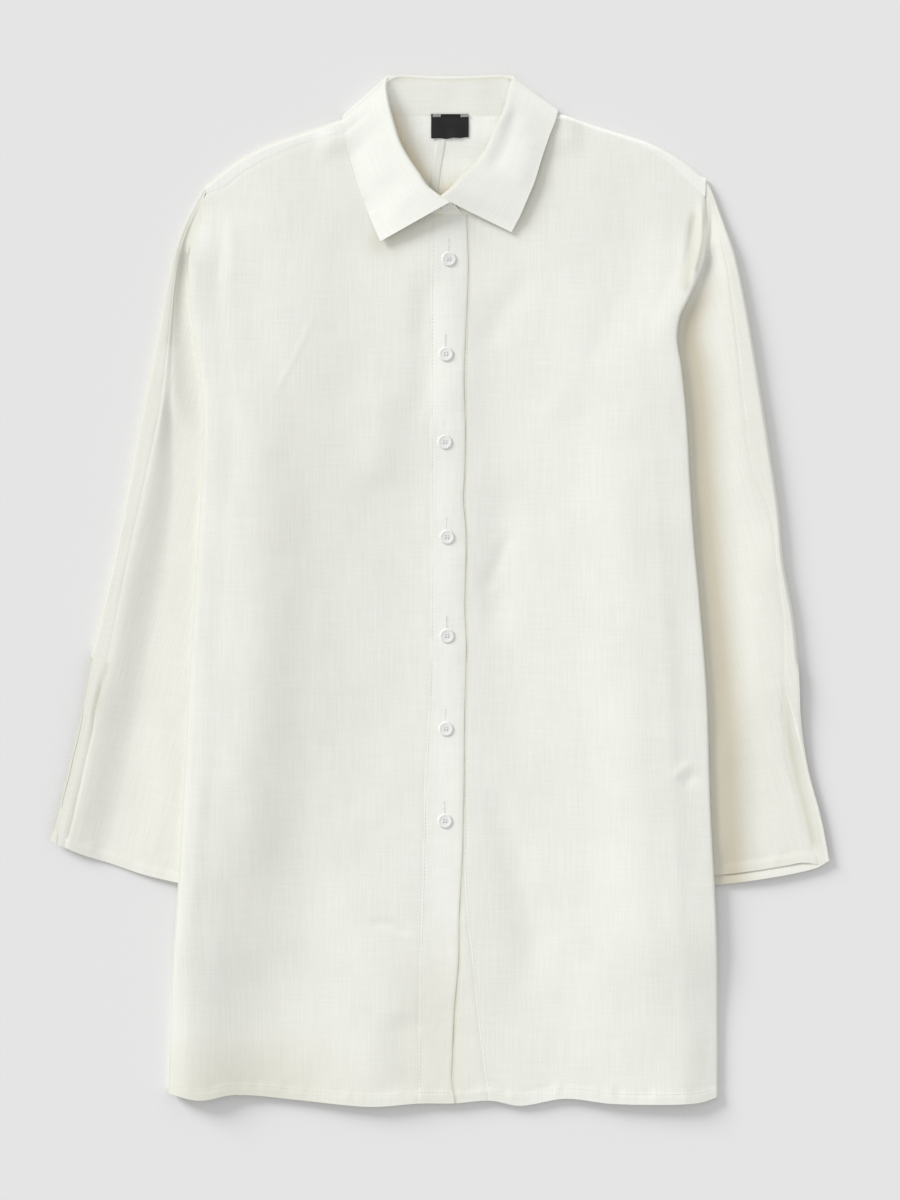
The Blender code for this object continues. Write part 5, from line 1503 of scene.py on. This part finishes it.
def roll_shade(x, y):
    """A little shade along the tight rounds of the leaf: the roll and the back."""
    shade = 0.0
    for line, wide, deep in ((roll_crest(LEFT_COLLAR[:9]), 1.7, 0.3),
                             (roll_crest(RIGHT_COLLAR[8:] + LEFT_COLLAR[:7:-1]), 1.7, 0.35)):
        shade = shade + deep * np.exp(-(near(line, x, y)[0] / wide) ** 2)
    return np.clip(shade, 0, 1)


def stand_shade(x, y):
    top = near([(row.roll_x, row.roll_y) for row in RIGHT_COLLAR[8:] + LEFT_COLLAR[:7:-1]], x, y)[0]
    low = np.exp(-((x - 7) / 26) ** 2) * smooth((372 - y) / 12)
    beside_fold = 1.1 * neck_shade(x, y) * (1 - 0.6 * low)
    return np.clip(beside_fold + 0.35 * np.exp(-(top / 3.0) ** 2) + 0.12 * low, 0, 1)


stations = spread(steps(COLLAR_LENGTH, 2.6), 0.0, LAST_SECTION)
collar = sew("collar", spread(4, -1.0, 0.0)[:-1] + spread(steps(9, 0.8, 7), 0.0, 1.0)
             + spread(steps(48, 1.8), 1.0, 2.0)[1:], stations, leaf_place, collar_linen, thick=0.9, flip=True,
             tint=roll_shade, even=False)
ends = spread(steps(22, 2.6, 4), 0.0, 1.0)
stand = sew("collar_stand", spread(steps(30, 1.8)),
            [-e for e in reversed(ends[1:])] + stations + [LAST_SECTION + e for e in ends[1:]],
            stand_place, stand_linen, thick=0.8, flip=True, tint=stand_shade)

# %% [markdown]
# ## The label
# A small bare label of black tape is sewn in at the back of the neck. Woven tape shows fine ribs across
# it, and a slight gloss. Its lower edge waves, because only its top corners are held by stitches.

# %% Label
LABEL_LEFT, LABEL_RIGHT, LABEL_TOP, LABEL_FOOT = -7.8, 27.2, 442.6, 420.3


def tape(name, dark, light):
    material = bpy.data.materials.new(name)
    material.use_nodes = True
    tree = material.node_tree
    shader = tree.nodes["Principled BSDF"]
    group = add(tree, "ShaderNodeGroup", (-820, 0), node_tree=weave)
    group.inputs["Threads per mm"].default_value = 4.0
    group.inputs["Slubs"].default_value = 0.2
    group.inputs["Weave Height"].default_value = 1.0
    tree.links.new(grain_in_mm(tree), group.inputs["Grain"])
    ribs = stretch(tree, group.outputs["Height"], 0.1, 0.9, 0.0, 1.0, (-600, 200))
    tree.links.new(colour_between(tree, ribs, dark, light, (-240, 200)), shader.inputs["Base Color"])
    tree.links.new(stretch(tree, group.outputs["Nap"], 0.3, 0.7, 0.5, 0.66, (-240, 0)),
                   shader.inputs["Roughness"])
    bump = add(tree, "ShaderNodeBump", (-240, -160))
    bump.inputs["Strength"].default_value = 0.5
    bump.inputs["Distance"].default_value = 0.0001
    tree.links.new(group.outputs["Height"], bump.inputs["Height"])
    tree.links.new(bump.outputs["Normal"], shader.inputs["Normal"])
    shader.inputs["Sheen Weight"].default_value = 0.05
    shader.inputs["Specular IOR Level"].default_value = 0.25
    return material


def label_place(u, v):
    x = mix(LABEL_LEFT, LABEL_RIGHT, u)
    foot = LABEL_FOOT - 0.5 * np.sin(u * 5) - 0.35 * np.sin(u * 17 + 1)
    y = mix(foot, LABEL_TOP, v)
    under = back_under(x, np.minimum(y, BACK_NECK_Y)) + 0.7 + np.maximum(0.0, y - BACK_NECK_Y) * 0.13
    wave = 0.5 * (1 - v) * (1 + np.sin(u * 11 + 0.6)) / 2 + 0.12 * np.sin(v * 9 + u * 4)
    return (x, y, under + 0.75 + wave)


black_tape = tape("black woven tape", (0.0055, 0.005, 0.006), (0.0145, 0.013, 0.0138))
label = sew("neck_label", spread(steps(36, 0.8)), spread(steps(23, 0.8)), label_place, black_tape, thick=0.4)

# %% [markdown]
# ## Thread
# A stitch is a short piece of round thread that dives into the cloth at both ends. One small body with a
# few flat sides is repeated along each seam, in a single mesh, so a whole row of stitches is one piece.

# %% Stitch maker
thread_material = linen("sewing thread", (0.90, 0.90, 0.86), (0.84, 0.84, 0.79), TAN_SHADE, threads_per_mm=3.0,
                        slubs=0.3, rough=0.7)


def stitch_rows(name, rows, size, thick):
    """Stitches along rows. A row is a list of (start, end, up) in millimetres."""
    vertices, faces = [], []
    for start, end, up in rows:
        start, end, up = Vector(start), Vector(end), Vector(up)
        way = (end - start)
        side = way.cross(up).normalized() * thick / 2
        rise = up.normalized() * thick / 2
        base = len(vertices)
        rings = ((0.0, 0.25, -0.9), (0.18, 0.85, 0.1), (0.5, 1.0, 0.45), (0.82, 0.85, 0.1), (1.0, 0.25, -0.9))
        for along, wide, lift in rings:
            middle = start + way * along + rise * lift
            for k in range(size):
                angle = 2 * math.pi * k / size
                vertices.append(middle + side * wide * math.cos(angle) + rise * wide * math.sin(angle))
        for ring in range(len(rings) - 1):
            for k in range(size):
                a, b = base + ring * size + k, base + ring * size + (k + 1) % size
                faces.append((a, b, b + size, a + size))
        faces.append(tuple(base + k for k in reversed(range(size))))
        faces.append(tuple(base + (len(rings) - 1) * size + k for k in range(size)))
    mesh = bpy.data.meshes.new(name)
    mesh.from_pydata([tuple((np.array(v) + TO_MIDDLE) * MM) for v in vertices], [], faces)
    layer = mesh.uv_layers.new(name="grain")
    places = np.array([v.co[:2] for v in mesh.vertices])
    index = np.zeros(len(mesh.loops), int)
    mesh.loops.foreach_get("vertex_index", index)
    layer.data.foreach_set("uv", places[index].ravel())
    mesh.shade_smooth()
    mesh.materials.append(thread_material)
    piece = bpy.data.objects.new(name, mesh)
    SHIRT.objects.link(piece)
    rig.ride(piece, "root")
    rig.slot(piece, "linen")
    print(name, "has", len(rows), "stitches")
    return piece


def along_line(points, height, length=2.6, gap=0.9):
    """A row of stitches along a line on a surface."""
    line = Line(points)
    total = line.lengths[-1]
    count = int(total / (length + gap))
    rows = []
    for k in range(count):
        a = k * (length + gap) / total
        b = a + length / total
        ax, ay = [float(c) for c in line.at(a)]
        bx, by = [float(c) for c in line.at(b)]
        rows.append(((ax, ay, float(height(ax, ay))), (bx, by, float(height(bx, by))), (0, 0, 1)))
    return rows


# %% [markdown]
# ## Seams that are stitched through
# The hem is stitched where its double fold ends, and the two bands close beside their seams. The stitches
# are hardly darker than the cloth, so what shows of them is a fine broken line and its puckers.

# %% Hem and band stitches
HEM_UP, SEAM_IN, THREAD_LIFT = 9.4, 1.8, 0.05
HEM_RUNS = ((-247, -22, 60, right_front_top), (48, 254, 60, front_top), (-18.5, 10.5, 10, placket_top))


def beside_seam(seam, foot):
    """The line of stitches along a band, from the collar down to the hem."""
    return [(float(line_x(seam, y)) + SEAM_IN, y) for y in np.linspace(348, foot, 120)]


hem_rows = []
for start, end, count, height in HEM_RUNS:
    points = [(x, float(hem_y(x)) + HEM_UP) for x in np.linspace(start, end, count)]
    hem_rows += along_line(points, lambda x, y, h=height: h(x, y) + THREAD_LIFT)
hem_stitches = stitch_rows("hem_stitches", hem_rows, 6, 0.32)
band_rows = along_line(beside_seam(BAND_SEAM, -466), lambda x, y: front_top(x, y) + THREAD_LIFT)
band_stitches = stitch_rows("band_stitches", band_rows, 6, 0.3)
placket_rows = along_line(beside_seam(PLACKET_SEAM, -467), lambda x, y: placket_top(x, y) + THREAD_LIFT)
placket_stitches = stitch_rows("placket_stitches", placket_rows, 6, 0.3)

# %% [markdown]
# ## Buttons
# The buttons are clear plastic, turned on a lathe: a raised rim round a shallow dish with four holes. The
# body is a turned profile with four cylinders cut from it, made once and copied for every button, and two
# doubled threads pass over the bridges between its holes. The plastic takes its gloss and clearness from
# the shader, and faint turning rings from a wave along its radius.

# %% Button finish
clear = bpy.data.materials.new("clear button plastic")
clear.use_nodes = True
tree = clear.node_tree
shader = tree.nodes["Principled BSDF"]
place_on = add(tree, "ShaderNodeTexCoord", (-900, 0))
rings = add(tree, "ShaderNodeTexWave", (-700, 0), wave_type="RINGS", rings_direction="Z")
rings.inputs["Scale"].default_value = 900.0
rings.inputs["Distortion"].default_value = 1.5
tree.links.new(place_on.outputs["Object"], rings.inputs["Vector"])
swirl = add(tree, "ShaderNodeTexNoise", (-700, 300))
swirl.inputs["Scale"].default_value = 260.0
tree.links.new(place_on.outputs["Object"], swirl.inputs["Vector"])
plastic_colour = colour_between(tree, swirl.outputs["Fac"], (0.89, 0.895, 0.875), (0.95, 0.95, 0.93),
                                (-300, 300))
tree.links.new(plastic_colour, shader.inputs["Base Color"])
tree.links.new(stretch(tree, swirl.outputs["Fac"], 0.3, 0.7, 0.07, 0.20, (-300, 100)),
               shader.inputs["Roughness"])
bump = add(tree, "ShaderNodeBump", (-300, -150))
bump.inputs["Strength"].default_value = 0.15
bump.inputs["Distance"].default_value = 0.0001
tree.links.new(rings.outputs["Fac"], bump.inputs["Height"])
tree.links.new(bump.outputs["Normal"], shader.inputs["Normal"])
shader.inputs["Transmission Weight"].default_value = 0.18
shader.inputs["IOR"].default_value = 1.49
shader.inputs["Coat Weight"].default_value = 0.4
shader.inputs["Coat Roughness"].default_value = 0.06

# %% Buttons
BUTTON_PLACES = [Point(*p) for p in [
    (8.8, 307.4), (6.0, 219.0), (5.1, 137.2), (7.0, 48.8), (7.0, -43.2), (6.0, -129.7), (5.1, -215.3)]]
STAND_BUTTON_PLACE = Point(7.0, 356.4)
BUTTON_RADIUS, BUTTON_THICK, BUTTON_SUNK = 6.8, 1.35, 0.3
STAND_BUTTON_SHARE = 5.5 / 6.9
STAND_FACE_SUNK = 0.1
EYE_OUT, EYE_RADIUS = 1.25, 0.6
THREAD_REACH, THREAD_LEVEL, THREAD_SPREAD = 1.5, 1.14, 0.22
PROFILE = [(0.0, 0.78), (0.46, 0.78), (0.56, 0.80), (0.66, 0.87), (0.74, 0.94), (0.82, 1.0), (0.91, 0.95),
           (0.97, 0.78), (1.0, 0.5), (0.98, 0.28), (0.90, 0.10), (0.76, 0.0), (0.0, 0.0)]


def lathe(name, profile, radius, thick, count):
    """Turns a profile round Z. The first and last points lie on the axis."""
    mesh = bpy.data.meshes.new(name)
    work = bmesh.new()
    top = work.verts.new((0, 0, profile[0][1] * thick * MM))
    low = work.verts.new((0, 0, profile[-1][1] * thick * MM))
    rings = []
    for r, h in profile[1:-1]:
        rings.append([work.verts.new((r * radius * MM * math.cos(2 * math.pi * k / count),
                                      r * radius * MM * math.sin(2 * math.pi * k / count), h * thick * MM))
                      for k in range(count)])
    for k in range(count):
        after = (k + 1) % count
        work.faces.new((top, rings[0][k], rings[0][after]))
        for a, b in zip(rings, rings[1:]):
            work.faces.new((a[k], b[k], b[after], a[after]))
        work.faces.new((rings[-1][k], low, rings[-1][after]))
    bmesh.ops.recalc_face_normals(work, faces=work.faces)
    work.to_mesh(mesh)
    work.free()
    return mesh


def drilled_button():
    blank = lathe("button_blank", PROFILE, BUTTON_RADIUS, BUTTON_THICK, 48)
    body = bpy.data.objects.new("button_blank", blank)
    drill_mesh = bpy.data.meshes.new("drill")
    work = bmesh.new()
    for x, y in ((-1, -1), (1, -1), (1, 1), (-1, 1)):
        made = bmesh.ops.create_cone(work, cap_ends=True, segments=16, radius1=EYE_RADIUS * MM,
                                     radius2=EYE_RADIUS * MM, depth=8 * MM)
        bmesh.ops.translate(work, verts=made["verts"], vec=(x * EYE_OUT * MM, y * EYE_OUT * MM, 0))
    work.to_mesh(drill_mesh)
    work.free()
    drill = bpy.data.objects.new("drill", drill_mesh)
    for part in (body, drill):
        SHIRT.objects.link(part)
    cut = body.modifiers.new("holes", "BOOLEAN")
    cut.object = drill
    cut.operation = "DIFFERENCE"
    cut.solver = "EXACT"
    bpy.context.view_layer.update()
    mesh = bpy.data.meshes.new_from_object(body.evaluated_get(bpy.context.evaluated_depsgraph_get()))
    for part in (body, drill):
        bpy.data.objects.remove(part)
    mesh.name = "drilled_button"
    mesh.shade_smooth()
    mesh.set_sharp_from_angle(angle=math.radians(40))
    mesh.materials.clear()
    mesh.materials.append(clear)
    return mesh


button_mesh = drilled_button()
print("Faces of one button:", len(button_mesh.polygons))


def surface_up(surface, x, y, step=2.0):
    slope_x = float(surface(x + step, y) - surface(x - step, y)) / (2 * step)
    slope_y = float(surface(x, y + step) - surface(x, y - step)) / (2 * step)
    return Vector((-slope_x, -slope_y, 1.0)).normalized()


def put_button(name, at, surface, scale=1.0):
    up = surface_up(surface, at.x, at.y)
    turn = Vector((0, 0, 1)).rotation_difference(up).to_matrix()
    centre = Vector((at.x, at.y, float(surface(at.x, at.y)))) - up * BUTTON_SUNK
    piece = bpy.data.objects.new("dressed_" + name, button_mesh.copy())
    piece.data.name = "dressed_" + name
    SHIRT.objects.link(piece)
    piece.location = Vector([(centre[k] + TO_MIDDLE[k]) * MM for k in range(3)])
    piece.rotation_euler = turn.to_euler()
    piece.scale = (scale, scale, scale)
    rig.ride(piece, "root")
    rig.replaces(piece, name)
    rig.slot(piece, "button_clear")
    rows = []
    for side in (-1, 1):
        for lay in (-THREAD_SPREAD, THREAD_SPREAD):
            start = centre + turn @ Vector((side * EYE_OUT + lay, -THREAD_REACH, THREAD_LEVEL)) * scale
            end = centre + turn @ Vector((side * EYE_OUT + lay, THREAD_REACH, THREAD_LEVEL)) * scale
            rows.append((start, end, up))
    return rows


def stand_over_top(x, y):
    """Upper face of the lapped end of the stand."""
    foot = right_front_top(x, OVER_END.neck_y)
    head = OVER_END.roll_z - OVER_END.round + WALL
    return mix(foot, head, (y - OVER_END.neck_y) / (OVER_END.roll_y - OVER_END.neck_y)) - STAND_FACE_SUNK


button_threads = []
for number, at in enumerate(BUTTON_PLACES, 1):
    button_threads += put_button("button_" + str(number), at, placket_top)
button_threads += put_button("button_stand", STAND_BUTTON_PLACE, stand_over_top, STAND_BUTTON_SHARE)
button_thread = stitch_rows("button_threads", button_threads, 8, 0.5)

# %% [markdown]
# ## Buttonholes
# A buttonhole is a narrow slot with close stitches laid across its rim. It runs up the placket, and the
# button sits at its lower end, so a length of it shows above each button. Each is one ring of short
# stitches, sunk so far into the placket that only their backs show.

# %% Buttonholes
HOLE_FOOT, HOLE_HEAD = -5.0, 18.4
HOLE_SLOT, HOLE_RIM = 0.1, 1.1
HOLE_STEP, HOLE_SUNK, HOLE_END_SUNK = 0.4, 0.14, 0.16


def buttonhole(at, surface):
    rows = []
    up = surface_up(surface, at.x, at.y)
    for side in (-1, 1):
        for y in np.arange(HOLE_FOOT, HOLE_HEAD, HOLE_STEP):
            z = float(surface(at.x, at.y + y)) - HOLE_SUNK
            a = (at.x + side * HOLE_SLOT, at.y + y, z)
            b = (at.x + side * (HOLE_SLOT + HOLE_RIM), at.y + y + 0.05, z)
            rows.append((a, b, up))
    for end in (HOLE_FOOT, HOLE_HEAD):
        for y in np.arange(-0.5, 0.51, 0.34):
            z = float(surface(at.x, at.y + end)) - HOLE_END_SUNK
            rows.append(((at.x - 1.3, at.y + end + y, z), (at.x + 1.3, at.y + end + y, z), up))
    return rows


hole_rows = []
for at in BUTTON_PLACES:
    hole_rows += buttonhole(at, placket_top)
buttonholes = stitch_rows("buttonholes", hole_rows, 5, 0.42)

# %% Tacks at the label's top corners
TACK_SPAN = 36.0
tack_rows = []
for left, right in ((-6.2, 1.0), (19.8, 26.8)):
    for x in np.arange(left, right, 0.75):
        z = float(label_place(np.array((x - LABEL_LEFT) / TACK_SPAN), np.array(0.95))[2])
        tack_rows.append(((x, 439.6, z + 0.1), (x + 0.4, 442.6, z + 0.25), (0, 0, 1)))
label_tacks = stitch_rows("label_tacks", tack_rows, 5, 0.4)

# %% [markdown]
# ## The seam up the back
# Inside the neck you look down on the felled seam of the back: a flat strip of doubled cloth, nearly a
# centimetre wide, with a thin shadow at each edge.

# %% Back seam strip
STRIP_HALF = 4.6
STRIP_FOOT, STRIP_HEAD = -468.0, 437.5


def strip_place(u, v):
    y = mix(STRIP_FOOT, STRIP_HEAD, v)
    x = line_x(BACK_CENTRE, y) + mix(-STRIP_HALF, STRIP_HALF, u)
    edge = np.minimum(u, 1 - u) * 2 * STRIP_HALF
    z = back_under(x, y) + back_relief(x, y) + 0.66 + 0.45 * smooth(edge / 0.9)
    return (x, y, z + 0.06 * lattice(y, x, 7.0, 91))


u, v = np.meshgrid(spread(9), spread(steps(900, 3.2)))
strip_points = np.stack(strip_place(u, v), axis=2)
strip_mesh = grid_mesh("back_seam", strip_points, plan_map(strip_points, 0.0),
                       neck_shade(strip_points[..., 0], strip_points[..., 1]))
back_seam = bpy.data.objects.new("back_seam", strip_mesh)
SHIRT.objects.link(back_seam)
strip_wall = back_seam.modifiers.new("thickness", "SOLIDIFY")
strip_wall.thickness = 0.4 * MM
strip_wall.offset = -1
strip_mesh.materials.append(body_linen)
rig.ride(back_seam, "root")
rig.slot(back_seam, "linen")
print("Back seam strip:", len(strip_mesh.polygons), "quads")

# %% [markdown]
# ## What each cloth was cut to
# A laid-out shirt is a stack of sheets. Each one is declared with the size of the rectangle that it was
# cut from and its own flat area, so that anyone who reuses the shirt can cut it again.

Cut = namedtuple("Cut", "piece width length area rests_on with_pieces")
CUTS = [
    Cut(back_right, 0.262, 0.945, 0.2049, ["sleeve_right_front", "collar"], [back_seam]),
    Cut(back_left, 0.273, 0.948, 0.2296, ["sleeve_left_front", "collar"], []),
    Cut(front_right, 0.252, 0.918, 0.1930, ["back_right"], [hem_stitches]),
    Cut(front_left, 0.244, 0.920, 0.1935, ["back_left"], [band_stitches]),
    Cut(placket, 0.048, 0.828, 0.0280, ["button_band"], [placket_stitches, buttonholes]),
    Cut(button_band, 0.058, 0.828, 0.0273, ["back_right", "back_left"], [button_thread]),
    Cut(right_sleeve[0], 0.165, 0.660, 0.0557, ["sleeve_right_back"], []),
    Cut(right_sleeve[1], 0.195, 0.664, 0.0720, [], []),
    Cut(left_sleeve[0], 0.162, 0.656, 0.0610, ["sleeve_left_back"], []),
    Cut(left_sleeve[1], 0.195, 0.662, 0.0788, [], []),
    Cut(collar, 0.075, 0.480, 0.0233, ["collar_stand", "front_right", "front_left"], []),
    Cut(stand, 0.042, 0.470, 0.0142, ["front_right", "front_left"], []),
    Cut(label, 0.036, 0.0227, None, ["back_right", "back_left"], [label_tacks]),
]
for cut in CUTS:
    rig.slot(cut.piece, "label_black" if cut.piece == label else "linen")
    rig.sheet(cut.piece, flat=(cut.width, cut.length), held="laid", rests_on=cut.rests_on, area=cut.area,
             with_pieces=cut.with_pieces)
print("Sheets declared:", len(CUTS))

# %% [markdown]
# ## The table
# The shirt lies on a large sheet of pale matt paper. Its faint mottling keeps the surface from looking
# like a computer's grey, and it is too fine to show as a pattern.

# %% Floor
paper = bpy.data.materials.new("matt paper")
paper.use_nodes = True
tree = paper.node_tree
shader = tree.nodes["Principled BSDF"]
spot = add(tree, "ShaderNodeTexCoord", (-900, 0))
mottle = add(tree, "ShaderNodeTexNoise", (-700, 0))
mottle.inputs["Scale"].default_value = 420.0
mottle.inputs["Detail"].default_value = 3.0
tree.links.new(spot.outputs["Object"], mottle.inputs["Vector"])
tree.links.new(colour_between(tree, mottle.outputs["Fac"], (0.775, 0.775, 0.775), (0.795, 0.795, 0.795),
                              (-300, 100)), shader.inputs["Base Color"])
shader.inputs["Roughness"].default_value = 0.95
shader.inputs["Specular IOR Level"].default_value = 0.1
floor_mesh = bpy.data.meshes.new("paper_floor")
work = bmesh.new()
bmesh.ops.create_grid(work, x_segments=8, y_segments=8, size=4.0)
bmesh.ops.translate(work, verts=work.verts, vec=(0, 0, -0.0001))
work.to_mesh(floor_mesh)
work.free()
floor = bpy.data.objects.new("paper_floor", floor_mesh)
floor_mesh.materials.append(paper)
bpy.context.scene.collection.objects.link(floor)
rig.stage(floor)

# %% Write out the sizes and finish
total = sum(len(o.data.polygons) for o in SHIRT.objects)
print("Quads before thickness:", total)
visual_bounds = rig.bounds()
with open("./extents.json", "w") as report:
    json.dump({"cad": [[round(float(v), 5) for v in corner] for corner in cad_bounds],
               "visual": [[round(float(v), 5) for v in corner] for corner in visual_bounds]}, report)
